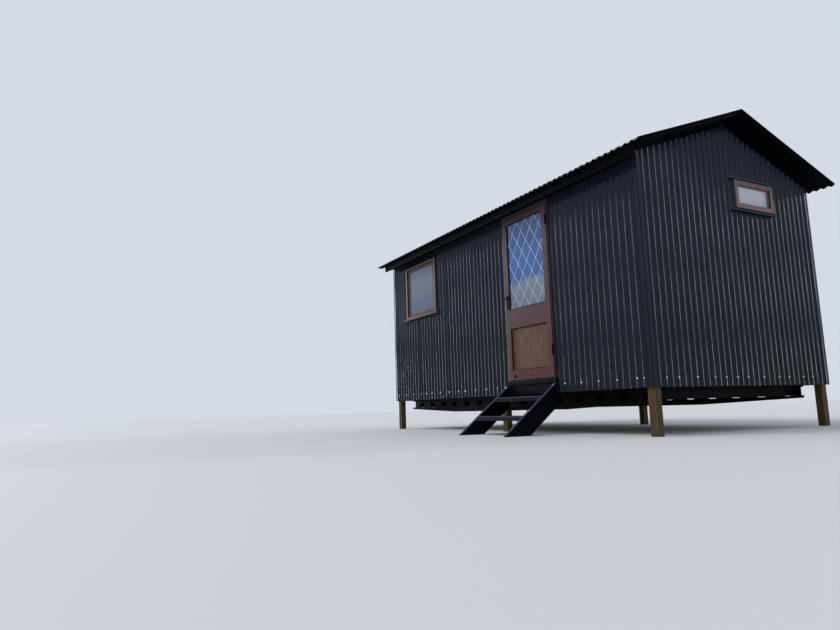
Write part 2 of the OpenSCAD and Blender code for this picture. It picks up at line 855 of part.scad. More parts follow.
// One arm of the lever: a neck, a quarter bend and a swelling grip with a round end
module lever_arm() {
    neck = 30;
    bend = 14;
    neck_r = 7;
    tip_r = 3;
    swell = 1.5;
    grip = lever_reach - bend;
    thickest = 0.45 * grip;
    round_end = 0.96 * grip;
    cylinder(r = neck_r, h = neck);
    translate([bend, 0, neck]) rotate([90, 0, 180]) rotate_extrude(angle = 90)
        translate([bend, 0]) circle(r = neck_r);
    translate([bend, 0, neck + bend]) rotate([0, 90, 0])
        rotate_extrude()
            polygon([
                [0, 0], [neck_r, 0], [neck_r + swell, thickest],
                [2 * tip_r, round_end], [tip_r, grip], [0, grip]
            ]);
}
module lever_handle() {
    color(iron_colour)
    at_front() {
        spindle(spindle_r, plate_faces[0] - 1, plate_faces[1] + 1);
        translate([lock_x, plate_faces[0] - seat_gap, spindle_z]) rotate([90, 0, 0]) lever_arm();
        translate([lock_x, plate_faces[1] + seat_gap, spindle_z])
            mirror([0, 1, 0]) rotate([90, 0, 0]) lever_arm();
    }
}

module window_frame() {
    color(timber_colour)
    at_front() pane_frame(window_x0, window_x1, window_z0, window_z1, window_side, window_head, window_foot,
                          -frame_out, skin + wall_t, glass_in - frame_out);
}
module window_glass() {
    color(glass_colour)
    at_front() pane(window_x0, window_x1, window_z0, window_z1, window_side, window_head, window_foot,
                    glass_in - frame_out);
}
module window_sill() {
    side = 50;
    out = 36;
    drop = 30;
    fall = 8;
    color(timber_colour)
    at_front() along_x(window_x0 - side, window_x1 + side)
        polygon([
            [sheet_face, window_z0], [sheet_face, window_z0 - drop],
            [-out, window_z0 - drop], [-out, window_z0 - fall], [-frame_out, window_z0]
        ]);
}

// Folded steel drips over both windows and an apron under the gable window
module drip(x0, x1, z, out) {
    flange = 26;
    fall = 6;
    along_x(x0, x1)
        polygon([
            [sheet_face, z + flange], [sheet_face, z], [-out, z - fall], [-out, z - fall + trim_t],
            [sheet_face - trim_t, z + trim_t], [sheet_face - trim_t, z + flange]
        ]);
}
module window_flashings() {
    half = gable_window_w / 2;
    over = 7;
    out = frame_out + 16;
    side = 8;
    near_side = 62;
    apron_drop = 30;
    color(steel_colour) {
        at_front() translate([0, -2 * seat_gap, 0])
            drip(window_x0 - side, window_x1 + side, window_z1 + over, out);
        at_right() translate([gable_window_y, -2 * seat_gap, 0]) {
            drip(-half - near_side, half + side, gable_window_z1 + over, out);
            drip(-half - near_side, half + side, gable_window_z0 - apron_drop, out);
        }
    }
}
module gable_window_frame() {
    half = gable_window_w / 2;
    side = gable_window_side;
    color(timber_colour)
    at_right() translate([gable_window_y, 0, 0])
        pane_frame(-half, half, gable_window_z0, gable_window_z1, side, side, side,
                   -frame_out, skin + wall_t, gable_glass_in - frame_out);
}
module gable_window_glass() {
    half = gable_window_w / 2;
    side = gable_window_side;
    color(glass_colour)
    at_right() translate([gable_window_y, 0, 0])
        pane(-half, half, gable_window_z0, gable_window_z1, side, side, side,
             gable_glass_in - frame_out);
}

// Plank stringers cut plumb at the wall and level at the ground
module step_stringers() {
    top = stair_top;
    slope = tan(step_angle);
    color(stain_colour)
    at_front()
        for (x = [step_x0, step_x1 - stringer_t])
            along_x(x, x + stringer_t)
                polygon([[0, top], [0, top - stringer_d], [-(top - stringer_d) / slope, 0], [-top / slope, 0]]);
}
// Treads between the stringers, their front edges cut to the slope of the steps
module step_treads() {
    function nose(z) = -(stair_top - z) / tan(step_angle) - tread_nose;
    color(stain_colour)
    at_front()
        for (i = [1 : treads]) {
            top = i * tread_rise;
            foot = top - tread_t;
            back = nose(top) + tread_d;
            along_x(step_x0 + stringer_t, step_x1 - stringer_t)
                polygon([[nose(foot), foot], [back, foot], [back, top], [nose(top), top]]);
        }
}

chassis_rails();
chassis_crossmembers();
posts();
floor_rims();
floor_joists();
floor_deck();
front_wall_left();
front_wall_right();
front_wall_over_door();
back_wall();
left_gable_wall();
right_gable_wall();
front_cladding_left();
front_cladding_right();
back_cladding();
left_gable_cladding();
right_gable_cladding();
corner_trims();
rafters();
ridge_board();
roof_deck();
roof_sheet_front();
roof_sheet_back();
ridge_cap();
fascias();
soffits();
door_frame();
door_sill();
kick_board();
frame_hinges();
door_stiles();
door_rails();
door_glass();
door_panel();
door_beads();
door_hinges();
lock_plates();
lever_handle();
window_frame();
window_glass();
window_sill();
window_flashings();
gable_window_frame();
gable_window_glass();
step_stringers();
step_treads();
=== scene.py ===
"""Shepherds hut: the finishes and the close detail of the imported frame, laid out as a Blender add-on."""
import math

import bmesh
import bpy
from mathutils import Matrix, Vector, noise


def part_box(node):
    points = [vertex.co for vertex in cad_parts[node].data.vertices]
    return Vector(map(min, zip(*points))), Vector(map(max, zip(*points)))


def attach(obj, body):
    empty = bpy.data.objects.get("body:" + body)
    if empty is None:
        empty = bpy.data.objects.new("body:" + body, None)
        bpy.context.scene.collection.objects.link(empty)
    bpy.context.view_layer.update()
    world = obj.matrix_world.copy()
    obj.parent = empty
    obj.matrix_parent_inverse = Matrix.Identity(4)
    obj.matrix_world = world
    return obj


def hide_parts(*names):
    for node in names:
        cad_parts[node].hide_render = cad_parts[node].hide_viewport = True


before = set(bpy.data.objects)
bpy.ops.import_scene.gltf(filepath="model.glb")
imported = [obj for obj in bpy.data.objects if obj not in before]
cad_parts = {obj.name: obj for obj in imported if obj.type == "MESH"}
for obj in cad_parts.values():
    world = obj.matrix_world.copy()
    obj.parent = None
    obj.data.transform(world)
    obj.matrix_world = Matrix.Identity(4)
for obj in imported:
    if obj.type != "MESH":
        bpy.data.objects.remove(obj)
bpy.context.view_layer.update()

bl_info = {
    "name": "Shepherds Hut",
    "version": (1, 0, 0),
    "blender": (4, 5, 0),
    "location": "View3D > Sidebar > Hut",
    "description": "Builds the cladding, joinery, steps, finishes and stage of a shepherds hut",
    "category": "Add Mesh",
}


def linear(code):
    """Turn an sRGB hex colour into the linear colour that Blender works with."""
    channels = [int(code[place:place + 2], 16) / 255 for place in (1, 3, 5)]
    return tuple(c / 12.92 if c <= 0.04045 else ((c + 0.055) / 1.055) ** 2.4 for c in channels) + (1.0,)


# The hut's main planes, read from the frame
TRIM_LOW, TRIM_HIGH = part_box("corner_trims")
FRONT_Y = TRIM_LOW.y
BACK_Y = TRIM_HIGH.y
MID_Y = (FRONT_Y + BACK_Y) / 2
HALF_W = (BACK_Y - FRONT_Y) / 2
END_X = TRIM_HIGH.x
CLAD_Z = TRIM_LOW.z
CLAD_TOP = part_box("front_cladding_left")[1].z
BACK_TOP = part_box("back_cladding")[1].z
SLOPE = math.radians(20.6)
CAP_LOW, CAP_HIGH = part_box("ridge_cap")
ROOF_X = CAP_HIGH.x - 0.0003
CAP_T = 0.0015
SEAT = 0.0003
RIDGE_Z = CAP_HIGH.z - CAP_T / math.cos(SLOPE) - SEAT
WALL_LOW, WALL_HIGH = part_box("front_wall_left")
SKIN = WALL_LOW.y - FRONT_Y
WALL_IN = WALL_HIGH.y - FRONT_Y
WALL_TOP = WALL_HIGH.z - WALL_IN * math.tan(SLOPE)
FLOOR_TOP = WALL_LOW.z
SHEET_FACE = 0.0018
# How far behind its plane a face may lie and still be painted with it
SKIM = 0.001
# How far a frame's head and foot lie behind the faces of its sides
SETBACK = 0.0004
# Where a crest of the gable sheets lies, from the middle of the wall
GABLE_CREST = 0.016
EAVE_OUT = 0.178
FASCIA_OUT = 0.137
FASCIA_T = 0.020
DECK_T = 0.018
BACK_DECK_OUT = 0.040
SOFFIT_T = 0.009
SOFFIT_Z = WALL_TOP - SOFFIT_T / math.cos(SLOPE)
# Height of the gable sheets' cut edge where its line meets a long wall
LAP_Z = WALL_TOP + SEAT / math.cos(SLOPE) + 0.035
DOOR_LOW, DOOR_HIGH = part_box("door_frame")
KICK_LOW, KICK_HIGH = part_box("kick_board")
STEP_LEAN = math.radians(37.8)
# The hair's breadth between a bead and its pane
CLEAR = 0.0002
# How deep the door's glass and panel sit in the stiles and rails
GROOVE = 0.008

# Places that face the outside of each wall and roof slope: X runs along, Y runs inwards, Z runs up
FRONT = Matrix.Translation((0, FRONT_Y, 0))
BACK = Matrix.Translation((0, BACK_Y, 0)) @ Matrix.Rotation(math.pi, 4, "Z")
RIGHT = Matrix.Translation((END_X, MID_Y, 0)) @ Matrix.Rotation(math.pi / 2, 4, "Z")
LEFT = Matrix.Translation((-END_X, MID_Y, 0)) @ Matrix.Rotation(-math.pi / 2, 4, "Z")
ROOF_TURN = Matrix.Rotation(SLOPE - math.pi / 2, 4, "X")
FRONT_ROOF = Matrix.Translation((0, MID_Y, RIDGE_Z)) @ ROOF_TURN
BACK_ROOF = Matrix.Translation((0, MID_Y, RIDGE_Z)) @ Matrix.Rotation(math.pi, 4, "Z") @ ROOF_TURN
# Turns a shape that stands on the XY plane to look out of a place above
FACING_OUT = Matrix.Rotation(math.pi / 2, 4, "X")


def rise(distance):
    """Give the height that the roof gains over a level distance."""
    return distance * math.tan(SLOPE)


def upright(thickness):
    """Give the upright measure of a thickness that is square to the roof."""
    return thickness / math.cos(SLOPE)


class CladdingSettings(bpy.types.PropertyGroup):
    """Sizes of the corrugated steel."""

    pitch: bpy.props.FloatProperty(
        name="Pitch", description="Distance from one corrugation to the next", default=0.0762, unit="LENGTH")
    depth: bpy.props.FloatProperty(
        name="Depth", description="Depth of the corrugations", default=0.019, unit="LENGTH")
    thickness: bpy.props.FloatProperty(
        name="Thickness", description="Thickness of the sheet", default=0.0007, unit="LENGTH")
    cover: bpy.props.IntProperty(
        name="Cover", description="Corrugations that one sheet covers beyond its lap", default=10, min=4)
    unevenness: bpy.props.FloatProperty(
        name="Unevenness", description="How far a pressed sheet wanders from true",
        default=0.0004, unit="LENGTH")
    screw_height: bpy.props.FloatProperty(
        name="Screw height", description="Height of the lower screws above the sheet's edge",
        default=0.080, unit="LENGTH")
    screw_radius: bpy.props.FloatProperty(
        name="Screw radius", description="Radius of a screw's washer", default=0.0088, unit="LENGTH")


class JoinerySettings(bpy.types.PropertyGroup):
    """Sizes of the timber work and of the leaded light."""

    edge: bpy.props.FloatProperty(
        name="Edge", description="Radius of the eased edges of planed timber", default=0.0016, unit="LENGTH")
    rough_edge: bpy.props.FloatProperty(
        name="Rough edge", description="Radius of the worn edges of posts and steps",
        default=0.004, unit="LENGTH")
    bead: bpy.props.FloatProperty(
        name="Bead", description="Width of the glazing beads", default=0.010, unit="LENGTH")
    diamond_width: bpy.props.FloatProperty(
        name="Diamond width", description="Width of a leaded diamond", default=0.153, unit="LENGTH")
    diamond_height: bpy.props.FloatProperty(
        name="Diamond height", description="Height of a leaded diamond", default=0.235, unit="LENGTH")
    lead_width: bpy.props.FloatProperty(
        name="Lead width", description="Width of the lead strips", default=0.006, unit="LENGTH")
    board_width: bpy.props.FloatProperty(
        name="Board width", description="Width of the lining boards", default=0.095, unit="LENGTH")


class FinishSettings(bpy.types.PropertyGroup):
    """Colours of the finishes."""

    steel: bpy.props.FloatVectorProperty(
        name="Steel", description="Charcoal paint of the corrugated steel", subtype="COLOR", size=4,
        default=linear("#1d2634"), min=0, max=1)
    steel_dust: bpy.props.FloatVectorProperty(
        name="Steel dust", description="The paint where rain has left a film of dust", subtype="COLOR",
        size=4, default=linear("#272f42"), min=0, max=1)
    joinery: bpy.props.FloatVectorProperty(
        name="Joinery", description="Red-brown hardwood of the door and windows", subtype="COLOR", size=4,
        default=linear("#552c26"), min=0, max=1)
    panel: bpy.props.FloatVectorProperty(
        name="Panel", description="Yellow-brown veneer of the lower door panel", subtype="COLOR", size=4,
        default=linear("#70523a"), min=0, max=1)
    post: bpy.props.FloatVectorProperty(
        name="Post", description="Tan softwood of the posts", subtype="COLOR", size=4,
        default=linear("#523f23"), min=0, max=1)
    stain: bpy.props.FloatVectorProperty(
        name="Stain", description="Black stain of the steps, fascias and kick board", subtype="COLOR", size=4,
        default=linear("#080a13"), min=0, max=1)
    lining: bpy.props.FloatVectorProperty(
        name="Lining", description="Pale softwood of the inside and the floor frame", subtype="COLOR", size=4,
        default=linear("#b89f78"), min=0, max=1)
    chassis: bpy.props.FloatVectorProperty(
        name="Chassis", description="Near-black paint of the chassis", subtype="COLOR", size=4,
        default=linear("#050607"), min=0, max=1)


class StageSettings(bpy.types.PropertyGroup):
    """The floor, the lamps and the camera."""

    eye: bpy.props.FloatVectorProperty(
        name="Eye", description="Where the camera stands", subtype="XYZ", unit="LENGTH", size=3,
        default=(6.160, -5.1716, 0.287))
    yaw: bpy.props.FloatProperty(
        name="Yaw", description="Camera's heading from +Y towards +X", subtype="ANGLE",
        default=math.radians(-61.76))
    pitch: bpy.props.FloatProperty(
        name="Pitch", description="Camera's tilt above the level", subtype="ANGLE",
        default=math.radians(8.38))
    roll: bpy.props.FloatProperty(
        name="Roll", description="Camera's lean", subtype="ANGLE", default=math.radians(-1.71))
    lens: bpy.props.FloatProperty(
        name="Lens", description="Focal length of the camera in millimetres", default=27.25)
    sky_level: bpy.props.FloatProperty(
        name="Sky level", description="Strength of the light from all round", default=0.62)
    key_level: bpy.props.FloatProperty(
        name="Key level", description="Strength of the broad light from the front and above", default=1.05)
    rim_level: bpy.props.FloatProperty(
        name="Rim level", description="Strength of the low lights that line the crests", default=1.0)
    floor_colour: bpy.props.FloatVectorProperty(
        name="Floor colour", description="Colour of the floor", subtype="COLOR", size=4,
        default=linear("#d8d9d8"), min=0, max=1)
    backdrop_colour: bpy.props.FloatVectorProperty(
        name="Backdrop colour", description="Colour seen behind the hut", subtype="COLOR", size=4,
        default=linear("#d3dbe6"), min=0, max=1)


def add_node(tree, kind, inputs=None, out=0, **settings):
    """Add a node, set its properties and inputs, and give back one of its outputs."""
    node = tree.nodes.new(kind)
    for name, value in settings.items():
        if name == "stops":
            ramp = node.color_ramp
            while len(ramp.elements) < len(value):
                ramp.elements.new(1.0)
            for element, (place, shade) in zip(ramp.elements, value):
                element.position = place
                element.color = shade
        else:
            setattr(node, name, value)
    for name, value in (inputs or {}).items():
        if isinstance(value, bpy.types.NodeSocket):
            tree.links.new(value, node.inputs[name])
        else:
            node.inputs[name].default_value = value
    return node.outputs[out] if out is not None else node


def start_material(name):
    """Make an empty material of this name."""
    material = bpy.data.materials.new(name)
    material.use_nodes = True
    material.node_tree.nodes.clear()
    return material


def close_material(material, inputs):
    """Feed the inputs to the shader and the shader to the material's output."""
    tree = material.node_tree
    shader = add_node(tree, "ShaderNodeBsdfPrincipled", inputs)
    add_node(tree, "ShaderNodeOutputMaterial", {"Surface": shader}, out=None)
    return material


def tone(colour, factor):
    """Make a colour lighter or darker."""
    return tuple(min(1.0, channel * factor) for channel in colour[:3]) + (1.0,)


def painted_steel(name, runs, foot):
    """Factory-painted galvanised steel: satin charcoal with orange peel, dusty runs, splashed feet and
    painted shade low down.

    runs stretches the rain marks, with the smallest number along the way that the water runs.
    foot is the height in metres up to which splashes of soil have dried on the paint.
    """
    colours = bpy.context.scene.hut_finishes
    material = start_material(name)
    tree = material.node_tree
    place = add_node(tree, "ShaderNodeTexCoord", out="Object")
    # Clouds of film about 0.7 m across, and rain marks about 30 mm wide
    cloud = add_node(tree, "ShaderNodeTexNoise", {"Vector": place, "Scale": 1.4, "Detail": 5.0})
    run_place = add_node(tree, "ShaderNodeMapping", {"Vector": place, "Scale": runs}, vector_type="POINT")
    run = add_node(tree, "ShaderNodeTexNoise",
                   {"Vector": run_place, "Scale": 1.0, "Detail": 6.0, "Roughness": 0.62})
    film = add_node(tree, "ShaderNodeMath", {0: cloud, 1: run}, operation="MULTIPLY")
    film = add_node(tree, "ShaderNodeValToRGB", {"Fac": film}, stops=[
        (0.16, (0, 0, 0, 1)), (0.44, (1, 1, 1, 1))])
    height = add_node(tree, "ShaderNodeSeparateXYZ", {"Vector": place}, out="Z")
    splash_line = add_node(tree, "ShaderNodeMapRange", {
        "Value": height, "From Min": foot, "From Max": CLAD_Z, "To Min": 0.0, "To Max": 1.0})
    speck = add_node(tree, "ShaderNodeTexNoise", {"Vector": place, "Scale": 95.0, "Detail": 3.0})
    splash = add_node(tree, "ShaderNodeMath", {0: splash_line, 1: speck}, operation="MULTIPLY")
    # Grains of dust 3 mm across, drawn coarser than they are so that they show
    grit = add_node(tree, "ShaderNodeTexNoise", {"Vector": place, "Scale": 330.0, "Detail": 2.0})
    grit = add_node(tree, "ShaderNodeMapRange", {"Value": grit, "From Min": 0.56, "From Max": 0.72})
    film_share = add_node(tree, "ShaderNodeMath", {0: film, 1: 0.34}, operation="MULTIPLY")
    grit_share = add_node(tree, "ShaderNodeMath", {0: grit, 1: 0.12, 2: film_share}, operation="MULTIPLY_ADD")
    dust = add_node(tree, "ShaderNodeMath", {0: splash, 1: 0.30, 2: grit_share},
                    operation="MULTIPLY_ADD", use_clamp=True)
    colour = add_node(tree, "ShaderNodeMix", {0: dust, 6: tuple(colours.steel), 7: tuple(colours.steel_dust)},
                      out=2, data_type="RGBA")
    # Painted shade: the colour darkens over the lower half towards the foot, for the dim ground that the
    # paint mirrors
    shade = add_node(tree, "ShaderNodeMapRange", {
        "Value": height, "From Min": CLAD_Z, "From Max": CLAD_TOP, "To Min": 0.58, "To Max": 0.0})
    colour = add_node(tree, "ShaderNodeMix", {0: shade, 6: colour, 7: tone(colours.steel, 0.25)},
                      out=2, data_type="RGBA")
    gloss = add_node(tree, "ShaderNodeMapRange", {"Value": dust, "To Min": 0.10, "To Max": 0.26})
    # Orange peel about 3 mm across, and soft dents a hand wide
    peel = add_node(tree, "ShaderNodeTexNoise", {"Vector": place, "Scale": 300.0, "Detail": 1.0})
    peel_bump = add_node(tree, "ShaderNodeBump", {"Height": peel, "Distance": 0.00012, "Strength": 0.5})
    dent = add_node(tree, "ShaderNodeTexNoise", {"Vector": place, "Scale": 9.0, "Detail": 1.0})
    bump = add_node(tree, "ShaderNodeBump",
                    {"Height": dent, "Distance": 0.0003, "Strength": 0.5, "Normal": peel_bump})
    return close_material(material, {
        "Base Color": colour, "Roughness": gloss, "Normal": bump, "IOR": 1.5, "Specular IOR Level": 0.17})


def timber(name, colour, ring, contrast, gloss, knots=0.0, weather=0.0, shine=0.12, figure=None, painted_sky_sheen=0.0):
    """Sawn or planed wood: growth rings, fibres and pores that run along each board.

    The "grain" attribute gives each board its own piece of the tree, in metres, with X along the fibres.
    ring is the distance between growth rings, and contrast how much darker the late wood is.
    figure gives the scale of a mottled veneer's patches, which then hide the rings.
    painted_sky_sheen is the share of a blue-grey painted reflection of the sky at the top of the door, which
    fades towards the lock rail.
    """
    material = start_material(name)
    tree = material.node_tree
    grain = add_node(tree, "ShaderNodeAttribute", out="Vector", attribute_name="grain")
    ring_place = add_node(tree, "ShaderNodeMapping", {"Vector": grain, "Scale": (0.10, 1.0, 1.0)})
    # A wave's rings lie pi / 10 apart at scale 1
    rings = add_node(tree, "ShaderNodeTexWave", {
        "Vector": ring_place, "Scale": math.pi / 10 / ring, "Distortion": 7.0, "Detail": 2.0,
        "Detail Scale": 0.22, "Detail Roughness": 0.6}, out="Fac", wave_type="RINGS", rings_direction="X")
    # Fibres about 1.5 mm wide and 150 mm long
    fibre_place = add_node(tree, "ShaderNodeMapping", {"Vector": grain, "Scale": (7.0, 620.0, 620.0)})
    fibre = add_node(tree, "ShaderNodeTexNoise", {"Vector": fibre_place, "Scale": 1.0, "Detail": 4.0})
    # Broad patches where the board took the finish differently
    patch_place = add_node(tree, "ShaderNodeMapping", {"Vector": grain, "Scale": figure or (2.2, 14.0, 14.0)})
    patch = add_node(tree, "ShaderNodeTexNoise", {
        "Vector": patch_place, "Scale": 1.0, "Detail": 5.0, "Distortion": 0.8 if figure else 0.0})
    mixed = add_node(tree, "ShaderNodeMath", {0: rings, 1: 0.12 if figure else 0.42, 2: fibre},
                     operation="MULTIPLY_ADD")
    mixed = add_node(tree, "ShaderNodeMath", {0: patch, 1: 0.75, 2: mixed}, operation="MULTIPLY_ADD")
    base = add_node(tree, "ShaderNodeValToRGB", {
        "Fac": add_node(tree, "ShaderNodeMapRange", {"Value": mixed, "From Min": 0.55, "From Max": 1.65})},
        stops=[(0.08, tone(colour, 1 - 0.72 * contrast)), (0.38, tone(colour, 1 - 0.25 * contrast)),
               (0.62, tone(colour, 1 + 0.22 * contrast)), (0.95, tone(colour, 1 + 0.75 * contrast))])
    # Pores 1 mm wide and 25 mm long, drawn coarser than they are so that they show
    pore_place = add_node(tree, "ShaderNodeMapping", {"Vector": grain, "Scale": (38.0, 980.0, 980.0)})
    pore = add_node(tree, "ShaderNodeTexNoise", {"Vector": pore_place, "Scale": 1.0, "Detail": 2.0})
    pore = add_node(tree, "ShaderNodeMapRange", {"Value": pore, "From Min": 0.57, "From Max": 0.68})
    base = add_node(tree, "ShaderNodeMix", {
        0: add_node(tree, "ShaderNodeMath", {0: pore, 1: 0.45}, operation="MULTIPLY"),
        6: base, 7: tone(colour, 0.35)}, out=2, data_type="RGBA")
    if knots:
        knot_place = add_node(tree, "ShaderNodeMapping", {"Vector": grain, "Scale": (4.2, 7.0, 7.0)})
        knot = add_node(tree, "ShaderNodeTexVoronoi", {"Vector": knot_place, "Scale": 1.0}, out="Distance")
        knot = add_node(tree, "ShaderNodeMapRange", {"Value": knot, "From Min": 0.16, "From Max": 0.06})
        base = add_node(tree, "ShaderNodeMix", {
            0: add_node(tree, "ShaderNodeMath", {0: knot, 1: knots}, operation="MULTIPLY"),
            6: base, 7: tone(colour, 0.28)}, out=2, data_type="RGBA")
    if weather:
        # Silvered and dirty patches, strongest near the ends and edges of the boards
        grime = add_node(tree, "ShaderNodeTexNoise", {"Vector": grain, "Scale": 11.0, "Detail": 6.0,
                                                      "Roughness": 0.7})
        grime = add_node(tree, "ShaderNodeMapRange", {"Value": grime, "From Min": 0.48, "From Max": 0.70,
                                                      "To Max": weather})
        base = add_node(tree, "ShaderNodeMix", {0: grime, 6: base, 7: linear("#6f6c67")},
                        out=2, data_type="RGBA")
    # Painted reflection: a blue-grey tint of the sky, strongest at the top of the door
    if painted_sky_sheen:
        place = add_node(tree, "ShaderNodeTexCoord", out="Object")
        height = add_node(tree, "ShaderNodeSeparateXYZ", {"Vector": place}, out="Z")
        height = add_node(tree, "ShaderNodeMapRange", {
            "Value": height, "From Min": 0.60, "From Max": 1.75, "To Max": painted_sky_sheen})
        base = add_node(tree, "ShaderNodeMix", {0: height, 6: base, 7: linear("#596170")},
                        out=2, data_type="RGBA")
    relief = add_node(tree, "ShaderNodeMath", {0: pore, 1: -0.8, 2: fibre}, operation="MULTIPLY_ADD")
    bump = add_node(tree, "ShaderNodeBump", {"Height": relief, "Distance": 0.0006, "Strength": 0.55})
    rough = add_node(tree, "ShaderNodeMapRange", {
        "Value": mixed, "From Min": 0.5, "From Max": 1.7, "To Min": gloss - 0.06, "To Max": gloss + 0.10})
    return close_material(material, {
        "Base Color": base, "Roughness": rough, "Normal": bump, "Specular IOR Level": shine})


def worked_metal(name, colour, metallic, gloss, grain_mm, relief, rust=0.0, shine=0.5):
    """Metal with a hammered, cast or sprayed skin, and rust where the paint has gone.

    grain_mm is the size of the skin's unevenness, and relief its depth in millimetres.
    """
    material = start_material(name)
    tree = material.node_tree
    place = add_node(tree, "ShaderNodeTexCoord", out="Object")
    skin = add_node(tree, "ShaderNodeTexNoise", {"Vector": place, "Scale": 1000.0 / grain_mm, "Detail": 3.0})
    cloud = add_node(tree, "ShaderNodeTexNoise", {"Vector": place, "Scale": 130.0 / grain_mm, "Detail": 5.0})
    base = add_node(tree, "ShaderNodeValToRGB", {"Fac": cloud}, stops=[
        (0.30, tone(colour, 0.78)), (0.70, tone(colour, 1.25))])
    rough = add_node(tree, "ShaderNodeMapRange", {
        "Value": skin, "From Min": 0.3, "From Max": 0.7, "To Min": gloss - 0.07, "To Max": gloss + 0.09})
    if rust:
        spot = add_node(tree, "ShaderNodeTexNoise", {"Vector": place, "Scale": 7.0, "Detail": 8.0,
                                                     "Roughness": 0.72})
        spot = add_node(tree, "ShaderNodeMapRange", {"Value": spot, "From Min": 0.60, "From Max": 0.70,
                                                     "To Max": rust})
        base = add_node(tree, "ShaderNodeMix", {0: spot, 6: base, 7: linear("#5a3522")},
                        out=2, data_type="RGBA")
    bump = add_node(tree, "ShaderNodeBump", {"Height": skin, "Distance": relief / 1000, "Strength": 0.7})
    return close_material(material, {
        "Base Color": base, "Metallic": metallic, "Roughness": rough, "Normal": bump,
        "Specular IOR Level": shine})


def float_glass(name, low_reflection_tint, high_reflection_tint, clear, foot, top):
    """Float glass with a painted reflection of the sky: pale, glossy, and only partly see-through.

    The painted reflection turns from the low tint to the high one between the heights foot and top, in
    metres.
    clear is the share of the light that passes, and the rest shows the painted reflection on the pane.
    """
    material = start_material(name)
    tree = material.node_tree
    place = add_node(tree, "ShaderNodeTexCoord", out="Object")
    # Painted clouds in the sky's reflection, about 0.4 m across and drawn out level
    film_place = add_node(tree, "ShaderNodeMapping", {"Vector": place, "Scale": (1.3, 1.3, 4.6)})
    film = add_node(tree, "ShaderNodeTexNoise", {"Vector": film_place, "Scale": 1.0, "Detail": 4.0})
    height = add_node(tree, "ShaderNodeSeparateXYZ", {"Vector": place}, out="Z")
    height = add_node(tree, "ShaderNodeMapRange", {"Value": height, "From Min": foot, "From Max": top},
                      clamp=False)
    level = add_node(tree, "ShaderNodeMath", {0: film, 1: 0.16, 2: height}, operation="MULTIPLY_ADD")
    base = add_node(tree, "ShaderNodeValToRGB", {
        "Fac": add_node(tree, "ShaderNodeMath", {0: level, 1: 0.08}, operation="SUBTRACT")}, stops=[
        (0.04, tone(low_reflection_tint, 0.88)), (0.28, tone(low_reflection_tint, 1.10)), (0.35, high_reflection_tint),
        (0.60, tone(high_reflection_tint, 1.12)), (0.74, tone(high_reflection_tint, 0.86)), (0.95, tone(high_reflection_tint, 0.72))])
    # The slow waves of drawn glass, about 60 mm across
    wave = add_node(tree, "ShaderNodeTexNoise", {"Vector": place, "Scale": 16.0, "Detail": 1.0})
    bump = add_node(tree, "ShaderNodeBump", {"Height": wave, "Distance": 0.0005, "Strength": 0.25})
    rough = add_node(tree, "ShaderNodeMapRange", {"Value": film, "To Min": 0.02, "To Max": 0.10})
    return close_material(material, {
        "Base Color": base, "Roughness": rough, "Normal": bump, "Transmission Weight": clear, "IOR": 1.5})


# The rain marks' scale and the height of the splashes
STEELS = {
    # Satin charcoal with streaks that run down the walls, soiled towards the foot, and darkened over the
    # lower half by painted shade
    "Painted wall steel": ((34.0, 34.0, 1.3), CLAD_Z + 0.30),
    # The same paint with streaks that run down both slopes, and clean
    "Painted roof steel": ((34.0, 1.3, 1.3), CLAD_Z + 0.01),
}

# The colour's setting or sRGB code and the factor that lightens or darkens it, the distance between rings,
# the contrast, the roughness and the options
TIMBERS = {
    # Red-brown with a soft sheen, greyed towards the top of the door by a painted reflection of the sky
    "Oiled hardwood": ("joinery", 1.0, 0.0045, 0.62, 0.40, {"painted_sky_sheen": 0.30}),
    # The same wood where hands and weather have rubbed it paler, with the same painted reflection
    "Worn hardwood edge": ("joinery", 1.35, 0.0045, 0.50, 0.46, {"painted_sky_sheen": 0.30}),
    # Painted shade: hardwood darkened for the reveals and beads round the panes
    "Aged hardwood bead": ("joinery", 0.28, 0.0045, 0.50, 0.50, {}),
    # Pinkish grey faces that the sun has bleached
    "Bleached hardwood": ("#7e635a", 1.0, 0.0045, 0.40, 0.50, {}),
    # Dull brown grey faces that the rain has washed
    "Greyed hardwood": ("#6a584d", 1.0, 0.0045, 0.50, 0.50, {}),
    # Yellow-brown with a lively mottled figure
    "Veneered panel": ("panel", 1.0, 0.016, 1.00, 0.45, {"figure": (12.0, 34.0, 34.0)}),
    # Dull tan with knots and silvered patches
    "Sawn softwood post": ("post", 1.0, 0.006, 0.50, 0.72, {"knots": 0.7, "weather": 0.30}),
    # Painted highlight: pale lines down the eased corners of the posts
    "Pale post edge": ("post", 2.0, 0.006, 0.40, 0.70, {"weather": 0.30, "shine": 0.10}),
    # Warm pale boards with knots
    "Softwood lining": ("lining", 1.0, 0.006, 0.35, 0.52, {"knots": 0.6}),
    # Blue-black planks with a faint grain, also the painted shade of the keyholes
    "Black stained softwood": ("stain", 1.0, 0.005, 0.55, 0.58, {"weather": 0.02, "shine": 0.04}),
    # The same stain, a little paler where feet and rain have worn it
    "Faded stained front": ("stain", 1.5, 0.005, 0.55, 0.60, {"weather": 0.04, "shine": 0.08}),
    # Thin grey lines where the stain is rubbed off, and a painted highlight down the stringers' front edges
    "Scuffed stained edge": ("stain", 12.0, 0.005, 0.55, 0.64, {"weather": 0.14, "shine": 0.20}),
    # Flat black that hides the grain, also laid as painted shade in folds, reveals and at the roof's verge
    "Black bitumen paint": ("#030409", 1.0, 0.005, 0.30, 0.70, {"shine": 0.03}),
}

